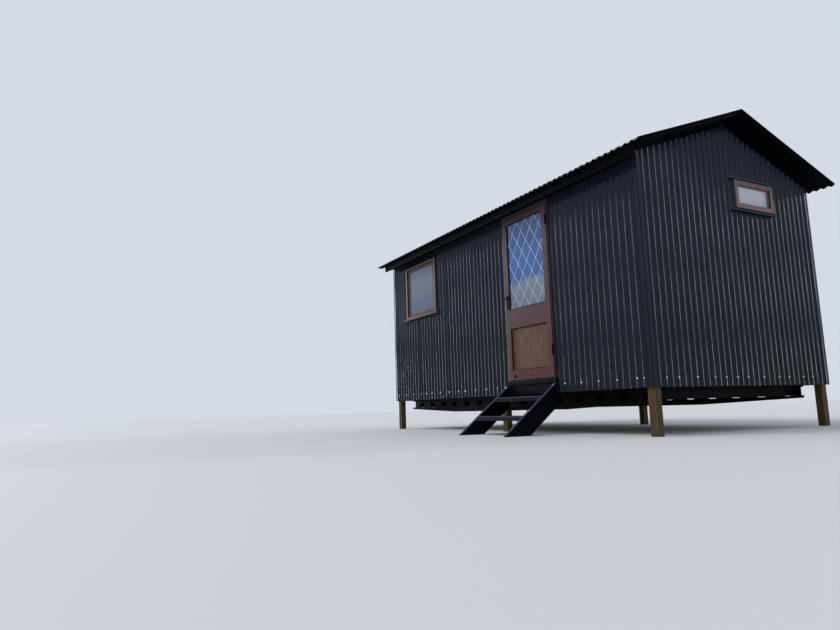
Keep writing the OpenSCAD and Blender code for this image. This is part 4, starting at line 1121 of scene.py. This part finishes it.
class HUT_OT_door_light(HutPart, bpy.types.Operator):
    """Glaze the door and lay the diamonds of lead on both faces of the pane"""

    bl_idname = "hut.door_light"
    bl_label = "Leaded door light"

    def execute(self, context):
        finish_node("door_glass", "Door glass")
        joinery = context.scene.hut_joinery
        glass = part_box("door_glass")
        x0, x1 = glass[0].x + GROOVE, glass[1].x - GROOVE
        z0, z1 = glass[0].z + GROOVE, glass[1].z - GROOVE
        wide, tall = joinery.diamond_width, joinery.diamond_height
        # One crossing of the strips, and how far each runs either way before it is cut to the pane
        knot_x, knot_z, reach = 0.759, 1.705, 2.2
        lead_t, dip = 0.0013, 0.0003
        lean = math.atan2(tall, wide)
        for name, y0, y1 in (("lead_outside", glass[0].y - lead_t, glass[0].y),
                             ("lead_inside", glass[1].y, glass[1].y + lead_t)):
            bm = new_mesh()
            for way in (-1, 1):
                for count in range(-9, 10):
                    centre = Vector((knot_x + count * wide, 0, knot_z))
                    along = Vector((way * math.cos(lean), 0, math.sin(lean)))
                    side = Vector((-along.z, 0, along.x)) * joinery.lead_width / 2
                    corners = [centre - along * reach - side, centre + along * reach - side,
                               centre + along * reach + side, centre - along * reach + side]
                    # The strips that lean to the right pass just under the others
                    under = dip if way > 0 else 0.0
                    front = y0 + (under if y0 < glass[0].y else 0.0)
                    outline = [(corner.x, front, corner.z) for corner in corners]
                    add_plank(bm, outline, (0, y1 - y0 - under, 0), along, 0.0006, segments=1)
            for point, normal in (((x0, 0, 0), (-1, 0, 0)), ((x1, 0, 0), (1, 0, 0)),
                                  ((0, 0, z0), (0, 0, -1)), ((0, 0, z1), (0, 0, 1))):
                cut(bm, point, normal, drop=True)
            rims = [line for line in bm.edges if line.is_boundary]
            bmesh.ops.holes_fill(bm, edges=rims)
            add_piece(name, bm, ["Lead strip"], "door")
        return {"FINISHED"}


class HUT_OT_ironmongery(HutPart, bpy.types.Operator):
    """Finish the hinges, the lock plates and the lever in black iron"""

    bl_idname = "hut.ironmongery"
    bl_label = "Door ironmongery"

    def execute(self, context):
        for node in ("frame_hinges", "door_hinges", "lever_handle", "lock_plates"):
            finish_node(node, "Black iron")
        low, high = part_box("lock_plates")
        middle = (low.x + high.x) / 2
        outside, inside = [], []
        turn = Matrix.Rotation(math.pi, 4, "Z")
        for x in (low.x + 0.007, high.x - 0.007):
            for z in (low.z + 0.009, high.z - 0.009):
                outside.append(Matrix.Translation((x, low.y, z)) @ FACING_OUT)
                inside.append(Matrix.Translation((x, high.y, z)) @ turn @ FACING_OUT)
        add_screws("lock_plate_screws", outside + inside, "Black iron", 0.0042, "door")
        # Painted shade: the keyhole, a round over a slot, is set as a dark inlay through the plate's face and
        # stands for the hole
        hole_z, hole_r, slot_z, slot_half = 1.392, 0.0035, 1.380, 0.0022
        outline = []
        for step in range(11):
            angle = math.radians(-60 + 30 * step)
            outline.append((middle + hole_r * math.cos(angle), hole_z + hole_r * math.sin(angle)))
        outline += [(middle - slot_half, slot_z), (middle + slot_half, slot_z)]
        bm = new_mesh()
        for face, out in ((low.y, -1), (high.y, 1)):
            corners = [(x, face + out * 0.0003, z) for x, z in outline]
            add_plank(bm, corners, (0, -out * 0.0010, 0), (0, 0, 1), 0.0)
        add_piece("keyholes", bm, ["Black stained softwood"], "door")
        bolt_x, bolt_z, bolt_r = 0.551, 0.601, 0.019
        bolt = Matrix.Translation((bolt_x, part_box("door_rails")[0].y, bolt_z)) @ FACING_OUT
        add_screws("leaf_bolt", [bolt], "Rusted iron", bolt_r, "door")
        return {"FINISHED"}


def frame_boards(bm, low, high, side, head, foot, edge, face_finish=0):
    """Add the four members of a frame, the head and foot between the sides, in a wall that faces -Y."""
    x0, y0, z0 = low
    x1, y1, z1 = high
    look = {"edge_finish": 1, "face_finish": face_finish}
    add_board(bm, (x0, y0, z0), (x0 + side, y1, z1), (0, 0, 1), edge, **look)
    add_board(bm, (x1 - side, y0, z0), (x1, y1, z1), (0, 0, 1), edge, **look)
    add_board(bm, (x0 + side, y0 + SETBACK, z1 - head), (x1 - side, y1, z1), (1, 0, 0), edge, **look)
    add_board(bm, (x0 + side, y0 + SETBACK, z0), (x1 - side, y1, z0 + foot), (1, 0, 0), edge, **look)


def window_boards(bm, low, high, side, head, foot, edge):
    """Add a window's frame, a black seal inside it as painted shade and the sash, together as wide as side,
    head and foot.
    """
    x0, y0, z0 = low
    x1, y1, z1 = high
    # The frame's share of the whole width, the seal's width, and how deep seal and sash lie
    share, seal, seal_y, sash_y = 0.42, 0.009, 0.024, 0.013
    frame_boards(bm, low, high, side * share, head * share, foot * share, edge, face_finish=3)
    # Painted shade: the frame's inner faces at the left and under the head are black, for the shadow gap
    # round the recessed sash
    paint_faces(bm, (1, 0, 0), x0 + side * share - SKIM, 2)
    paint_faces(bm, (0, 0, -1), SKIM + head * share - z1, 2)
    x0, x1, z0, z1 = x0 + side * share, x1 - side * share, z0 + foot * share, z1 - head * share
    # Painted shade: the black seal ring in the gap stands for the shadow between frame and sash
    frame_boards(bm, (x0, y0 + seal_y, z0), (x1, y1 - 0.002, z1), seal, seal, seal, 0.0, face_finish=2)
    x0, x1, z0, z1 = x0 + seal, x1 - seal, z0 + seal, z1 - seal
    rest = 1 - share
    frame_boards(bm, (x0, y0 + sash_y, z0), (x1, y1 - 0.001, z1), side * rest - seal, head * rest - seal,
                 foot * rest - seal, edge)


class HUT_OT_wide_window(HutPart, bpy.types.Operator):
    """Make the wide window's frame, beads, glass and sill"""

    bl_idname = "hut.wide_window"
    bl_label = "Wide window"

    def execute(self, context):
        finish_node("window_glass", "Window glass")
        edge = context.scene.hut_joinery.edge
        low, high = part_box("window_frame")
        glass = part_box("window_glass")
        side, head, foot, bead = 0.105, 0.067, 0.055, 0.009
        bm = new_mesh()
        window_boards(bm, low, high, side, head, foot, edge)
        x0, x1, z0, z1 = low.x + side, high.x - side, low.z + foot, high.z - head
        for y0, y1, eased in ((low.y + 0.0145, glass[0].y - CLEAR, 0.0015),
                              (glass[1].y + CLEAR, glass[1].y + 0.012, 0.003)):
            add_ring(bm, x0, x1, z0, z1, y0, y1, bead, eased, segments=3)
        add_piece("window_joinery", bm, PLANED + ["Black bitumen paint", "Greyed hardwood"], "hut",
                  ["window_frame"])
        sill_low, sill_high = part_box("window_sill")
        outline = [(sill_high.y, sill_high.z), (sill_high.y, sill_low.z), (sill_low.y, sill_low.z),
                   (sill_low.y, sill_high.z - 0.008), (low.y, sill_high.z)]
        corners = [(sill_low.x, y, z) for y, z in outline]
        bm = new_mesh()
        add_plank(bm, corners, (sill_high.x - sill_low.x, 0, 0), (1, 0, 0), 0.003, segments=3, edge_finish=1)
        add_piece("window_ledge", bm, PLANED, "hut", ["window_sill"])
        return {"FINISHED"}


class HUT_OT_gable_window(HutPart, bpy.types.Operator):
    """Make the gable window's frame, beads and glass, and finish the flashings"""

    bl_idname = "hut.gable_window"
    bl_label = "Gable window"

    def execute(self, context):
        finish_node("gable_window_glass", "Gable glass")
        finish_node("window_flashings", "Painted wall steel")
        edge = context.scene.hut_joinery.edge
        low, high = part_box("gable_window_frame")
        glass_low, glass_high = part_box("gable_window_glass")
        side, bead = 0.046, 0.008
        x0, x1 = low.y - MID_Y, high.y - MID_Y
        face, depth = END_X - high.x, END_X - low.x
        pane, pane_back = END_X - glass_high.x, END_X - glass_low.x
        bm = new_mesh()
        frame_boards(bm, (x0, face, low.z), (x1, depth, high.z), side, side, side, edge)
        # Painted shade: the sides' and head's faces towards the pane take the darkened hardwood
        for way, reach in (((1, 0, 0), x0 + side - SKIM), ((-1, 0, 0), side - SKIM - x1),
                           ((0, 0, -1), SKIM + side - high.z)):
            paint_faces(bm, way, reach, 2)
        # Painted shade: only the faces towards the pane are dark, and not the frame's outer sides
        for part in bm.faces:
            if abs(part.calc_center_median().x - (x0 + x1) / 2) > (x1 - x0 - side) / 2:
                part.material_index = min(1, part.material_index)
        for y0, y1 in ((face + 0.012, pane - CLEAR), (pane_back + CLEAR, pane_back + 0.012)):
            add_ring(bm, x0 + side, x1 - side, low.z + side, high.z - side, y0, y1, bead, 0.003, segments=3)
        move_mesh(bm, RIGHT)
        add_piece("gable_window_joinery", bm, ["Bleached hardwood", "Greyed hardwood", "Aged hardwood bead"],
                  "hut", ["gable_window_frame"])
        return {"FINISHED"}


class HUT_OT_steps(HutPart, bpy.types.Operator):
    """Make the plank steps, worn along their edges"""

    bl_idname = "hut.steps"
    bl_label = "Steps"

    def execute(self, context):
        edge = context.scene.hut_joinery.rough_edge
        low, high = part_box("step_stringers")
        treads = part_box("step_treads")
        depth, thick, tread_t, tread_d, nose_out, nose_t = 0.236, 0.036, 0.047, 0.165, 0.002, 0.012
        heights = (0.190, 0.380)
        along = (0, math.cos(STEP_LEAN), math.sin(STEP_LEAN))
        upwards = (0, -math.sin(STEP_LEAN), math.cos(STEP_LEAN))

        def slope_y(z):
            return high.y - (high.z - z) / math.tan(STEP_LEAN)

        outline = [(high.y, high.z), (high.y, high.z - depth), (slope_y(depth), 0.0), (low.y, 0.0)]
        bm = new_mesh()
        for x in (low.x, high.x - thick):
            add_plank(bm, [(x, y, z) for y, z in outline], (thick, 0, 0), along, edge, edge_finish=1)
        # Painted highlight: the stringers' front edges, which face up the slope, take the pale edge finish
        paint_faces(bm, upwards, -math.inf)
        add_piece("step_sides", bm, STAINED, "hut", ["step_stringers"])
        bm = new_mesh()
        for top in heights:
            foot = top - tread_t
            back = slope_y(top) - nose_out + tread_d
            outline = [(slope_y(foot) - nose_out, foot), (back, foot),
                       (back, top), (slope_y(top) - nose_out, top)]
            corners = [(treads[0].x, y, z) for y, z in outline]
            add_plank(bm, corners, (treads[1].x - treads[0].x, 0, 0), (1, 0, 0), edge, edge_finish=1)
            cut(bm, (0, 0, top - nose_t), (0, 0, 1))
        paint_faces(bm, upwards, -math.inf, 2)
        paint_faces(bm, (0, 0, 1), 0, 2)
        # The nosing is rubbed pale along its upper strip, which also carries a painted highlight
        for face in bm.faces:
            middle = face.calc_center_median()
            if face.normal.y < -0.3 and min(abs(middle.z - top + nose_t / 2) for top in heights) < 0.0065:
                face.material_index = 1
        add_piece("step_planks", bm, STAINED + ["Faded stained front"], "hut",
                  ["step_treads"])
        # Screws through the stringers' front edges
        places = []
        turn = Matrix.Rotation(math.pi / 2 - STEP_LEAN, 4, "X")
        left_x, right_x, screw_z, low_screw_z = low.x + thick / 2, high.x - thick / 2, 0.484, 0.240
        for x, z in ((left_x, screw_z), (right_x, screw_z), (right_x, low_screw_z)):
            places.append(Matrix.Translation((x, slope_y(z), z)) @ turn)
        add_screws("step_screws", places, radius=0.0065)
        return {"FINISHED"}


class HUT_OT_underframe(HutPart, bpy.types.Operator):
    """Make the posts and the floor frame, and finish the chassis"""

    bl_idname = "hut.underframe"
    bl_label = "Posts, floor and chassis"

    def execute(self, context):
        finish_node("chassis_rails", "Painted chassis steel")
        finish_node("chassis_crossmembers", "Painted chassis steel")
        sizes = context.scene.hut_joinery
        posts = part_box("posts")
        side, middle_x = 0.076, 0.135
        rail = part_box("chassis_rails")
        places = [(x, y) for y in (posts[0].y, posts[1].y - side) for x in (posts[0].x, posts[1].x - side)]
        places += [(middle_x - side / 2, y) for y in (rail[0].y - side, rail[1].y)]
        bm = new_mesh()
        # Painted highlight: the posts' eased corners take the pale edge finish
        for x, y in places:
            add_board(bm, (x, y, 0.0), (x + side, y + side, posts[1].z), (0, 0, 1), sizes.rough_edge,
                      edge_finish=1)
        add_piece("sawn_posts", bm, ["Sawn softwood post", "Pale post edge"], "hut", ["posts"])
        bm = new_mesh()
        low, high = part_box("floor_rims")
        timber_t, bay = 0.045, 0.44
        for y in (low.y, high.y - timber_t):
            add_board(bm, (low.x, y, low.z), (high.x, y + timber_t, high.z), (1, 0, 0), sizes.edge)
        add_piece("sawn_rims", bm, ["Black bitumen paint"], "hut", ["floor_rims"])
        bm = new_mesh()
        low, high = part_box("floor_joists")
        half = timber_t / 2
        middles = [high.x - half] + [bay * (count + 0.5) for count in range(5)]
        for x in middles + [-x for x in middles]:
            add_board(bm, (x - half, low.y, low.z), (x + half, high.y, high.z), (0, 1, 0), sizes.edge)
        add_piece("sawn_joists", bm, ["Black bitumen paint"], "hut", ["floor_joists"])
        bm = new_mesh()
        low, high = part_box("floor_deck")
        boards, joint = 17, 0.0006
        width = (high.y - low.y) / boards
        for index in range(boards):
            y = low.y + index * width
            add_board(bm, (low.x, y, low.z), (high.x, y + width - joint, high.z), (1, 0, 0), 0.0015,
                      segments=1)
        paint_faces(bm, (0, 0, -1), -low.z - SKIM)
        add_piece("floor_boards", bm, LINED, "hut", ["floor_deck"])
        return {"FINISHED"}


def line_wall(bm, x0, x1, z0, y0, y1, tops, openings=()):
    """Add upright lining boards in a wall's own frame.

    tops gives the points of a board's upper edge between two places. A level one leans inwards with the roof.
    """
    width = bpy.context.scene.hut_joinery.board_width
    eased, thinnest = 0.0025, 0.004
    joints = [x0]
    while joints[-1] + width < x1 - 0.02:
        joints.append(joints[-1] + width)
    joints.append(x1)
    for opening in openings:
        joints += [line for line in opening[:2] if x0 < line < x1]
    joints = sorted(joints)
    for a, b in zip(joints, joints[1:]):
        if b - a < thinnest:
            continue
        spans = [(z0, None)]
        for ox0, ox1, oz0, oz1 in openings:
            if ox0 - SKIM <= a and b <= ox1 + SKIM:
                spans = [(z0, oz0), (oz1, None)]
        for low, high in spans:
            if high is not None:
                add_board(bm, (a, y0, low), (b, y1, high), (0, 0, 1), eased, segments=1)
                continue
            heights = tops(a, b)
            if len(heights) == 2 and heights[0][1] == heights[1][1]:
                outer, inner = heights[0][1], heights[1][1] + rise(y1 - y0)
                corners = [(a, y0, low), (a, y1, low), (a, y1, inner), (a, y0, outer)]
                sweep = (b - a, 0, 0)
            else:
                corners = [(a, y0, low)] + [(x, y0, z) for x, z in heights] + [(b, y0, low)]
                sweep = (0, y1 - y0, 0)
            add_plank(bm, corners, sweep, (0, 0, 1), eased, segments=1)


class HUT_OT_lining(HutPart, bpy.types.Operator):
    """Line the walls with upright grooved boards"""

    bl_idname = "hut.lining"
    bl_label = "Wall lining"

    def execute(self, context):
        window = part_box("window_frame")
        opening = (window[0].x, window[1].x, window[0].z, window[1].z)
        outer_top = WALL_TOP + rise(SKIN)

        def level_top(a, b):
            return [(a, outer_top), (b, outer_top)]

        def gable_top(a, b):
            flat = 0.010
            points = [(a, WALL_TOP + rise(HALF_W - max(abs(a), flat)))]
            points += [(x, WALL_TOP + rise(HALF_W - flat)) for x in (-flat, flat) if a < x < b]
            points.append((b, WALL_TOP + rise(HALF_W - max(abs(b), flat))))
            return points

        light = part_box("gable_window_frame")
        hole = (light[0].y - MID_Y, light[1].y - MID_Y, light[0].z, light[1].z)
        for node, wall, tops, openings in (
                ("front_wall_left", FRONT, level_top, [opening]), ("front_wall_right", FRONT, level_top, []),
                ("front_wall_over_door", FRONT, level_top, []), ("back_wall", BACK, level_top, []),
                ("right_gable_wall", RIGHT, gable_top, [hole]), ("left_gable_wall", LEFT, gable_top, [])):
            low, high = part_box(node)
            half = (high.y - low.y) / 2
            x0, x1 = (-half, half) if tops is gable_top else (low.x, high.x)
            bm = new_mesh()
            line_wall(bm, x0, x1, low.z, SKIN, WALL_IN, tops, openings)
            paint_faces(bm, (0, -1, 0), -SKIN - SKIM)
            paint_faces(bm, (0, 0, -1), -low.z - SKIM)
            move_mesh(bm, wall)
            add_piece(node + "_boards", bm, LINED, "hut", [node])
        return {"FINISHED"}


class HUT_OT_stage(HutPart, bpy.types.Operator):
    """Set up the floor, the lamps, the backdrop and the camera"""

    bl_idname = "hut.stage"
    bl_label = "Stage"

    def execute(self, context):
        stage = context.scene.hut_stage
        scene = context.scene
        bm = bmesh.new()
        bmesh.ops.create_circle(bm, cap_ends=True, radius=60.0, segments=96)
        mesh = bpy.data.meshes.new("studio_floor")
        bm.to_mesh(mesh)
        bm.free()
        floor = bpy.data.objects.new("studio_floor", mesh)
        scene.collection.objects.link(floor)
        paint = start_material("Matt studio floor")
        close_material(paint, {"Base Color": tuple(stage.floor_colour), "Roughness": 0.85})
        mesh.materials.append(paint)
        # A broad light from the front and above, and beyond each far corner a tall strip of four small
        # lights, which each crest of the sheets mirrors as one thin line
        lamps = [("key_light", stage.key_level, 30, (-0.30, -0.80, 1.10))]
        for side, share, across, along in (("left", 0.17, -0.985, -0.17), ("right", 0.16, 0.17, 0.985)):
            for count, lift in enumerate((0.04, 0.15, 0.26, 0.37)):
                strength = stage.rim_level * share
                lamps.append((f"{side}_strip_light_{count}", strength, 6, (across, along, lift)))
        for name, level, spread, way in lamps:
            lamp = bpy.data.lights.new(name, "SUN")
            lamp.energy = level
            lamp.angle = math.radians(spread)
            light = bpy.data.objects.new(name, lamp)
            scene.collection.objects.link(light)
            light.location = Vector(way) * 8
            light.rotation_euler = Vector(way).to_track_quat("Z", "Y").to_euler()
        world = bpy.data.worlds.new("studio_backdrop")
        scene.world = world
        world.use_nodes = True
        tree = world.node_tree
        tree.nodes.clear()
        rays = add_node(tree, "ShaderNodeLightPath", out=None)
        seen = rays.outputs["Is Camera Ray"]
        for kind in ("Is Glossy Ray", "Is Transmission Ray"):
            seen = add_node(tree, "ShaderNodeMath", {0: seen, 1: rays.outputs[kind]}, operation="MAXIMUM")
        soft = add_node(tree, "ShaderNodeBackground",
                        {"Color": linear("#e9f0ff"), "Strength": stage.sky_level})
        plain = add_node(tree, "ShaderNodeBackground",
                         {"Color": tuple(stage.backdrop_colour), "Strength": 1.0})
        both = add_node(tree, "ShaderNodeMixShader", {0: seen, 1: soft, 2: plain})
        add_node(tree, "ShaderNodeOutputWorld", {"Surface": both}, out=None)
        lens = bpy.data.cameras.new("camera")
        lens.lens = stage.lens
        lens.sensor_width = 36.0
        lens.sensor_fit = "HORIZONTAL"
        lens.clip_end = 200.0
        camera = bpy.data.objects.new("camera", lens)
        scene.collection.objects.link(camera)
        flat = math.cos(stage.pitch)
        ahead = Vector((math.sin(stage.yaw) * flat, math.cos(stage.yaw) * flat, math.sin(stage.pitch)))
        level = Vector((math.cos(stage.yaw), -math.sin(stage.yaw), 0))
        overhead = level.cross(ahead)
        right = math.cos(stage.roll) * level + math.sin(stage.roll) * overhead
        up = math.cos(stage.roll) * overhead - math.sin(stage.roll) * level
        turn = Matrix((right, up, -ahead)).transposed().to_4x4()
        camera.matrix_world = Matrix.Translation(stage.eye) @ turn
        scene.camera = camera
        scene.view_settings.view_transform = "Standard"
        return {"FINISHED"}


PARTS = (
    HUT_OT_wall_sheets, HUT_OT_wall_screws, HUT_OT_corner_trims, HUT_OT_roof_sheets, HUT_OT_eaves,
    HUT_OT_door_frame, HUT_OT_door_leaf, HUT_OT_door_light, HUT_OT_ironmongery, HUT_OT_wide_window,
    HUT_OT_gable_window, HUT_OT_steps, HUT_OT_underframe, HUT_OT_lining, HUT_OT_stage,
)
SETTINGS = {
    "hut_cladding": CladdingSettings,
    "hut_joinery": JoinerySettings,
    "hut_finishes": FinishSettings,
    "hut_stage": StageSettings,
}


class HUT_PT_parts(bpy.types.Panel):
    """The hut's parts and their settings"""

    bl_idname = "HUT_PT_parts"
    bl_label = "Shepherds Hut"
    bl_space_type = "VIEW_3D"
    bl_region_type = "UI"
    bl_category = "Hut"

    def draw(self, context):
        layout = self.layout
        for part in PARTS:
            layout.operator(part.bl_idname)
        for name, group in SETTINGS.items():
            box = layout.box()
            for key in group.__annotations__:
                box.prop(getattr(context.scene, name), key)


def register():
    """Register the settings, the operators and the panel."""
    for name, group in SETTINGS.items():
        bpy.utils.register_class(group)
        setattr(bpy.types.Scene, name, bpy.props.PointerProperty(type=group))
    for part in PARTS:
        bpy.utils.register_class(part)
    bpy.utils.register_class(HUT_PT_parts)


def unregister():
    """Take the panel, the operators and the settings away again."""
    bpy.utils.unregister_class(HUT_PT_parts)
    for part in reversed(PARTS):
        bpy.utils.unregister_class(part)
    for name, group in SETTINGS.items():
        delattr(bpy.types.Scene, name)
        bpy.utils.unregister_class(group)


def main():
    """Build every part in order."""
    register()
    for part in PARTS:
        group, name = part.bl_idname.split(".")
        getattr(getattr(bpy.ops, group), name)()


if __name__ == "__main__":
    main()
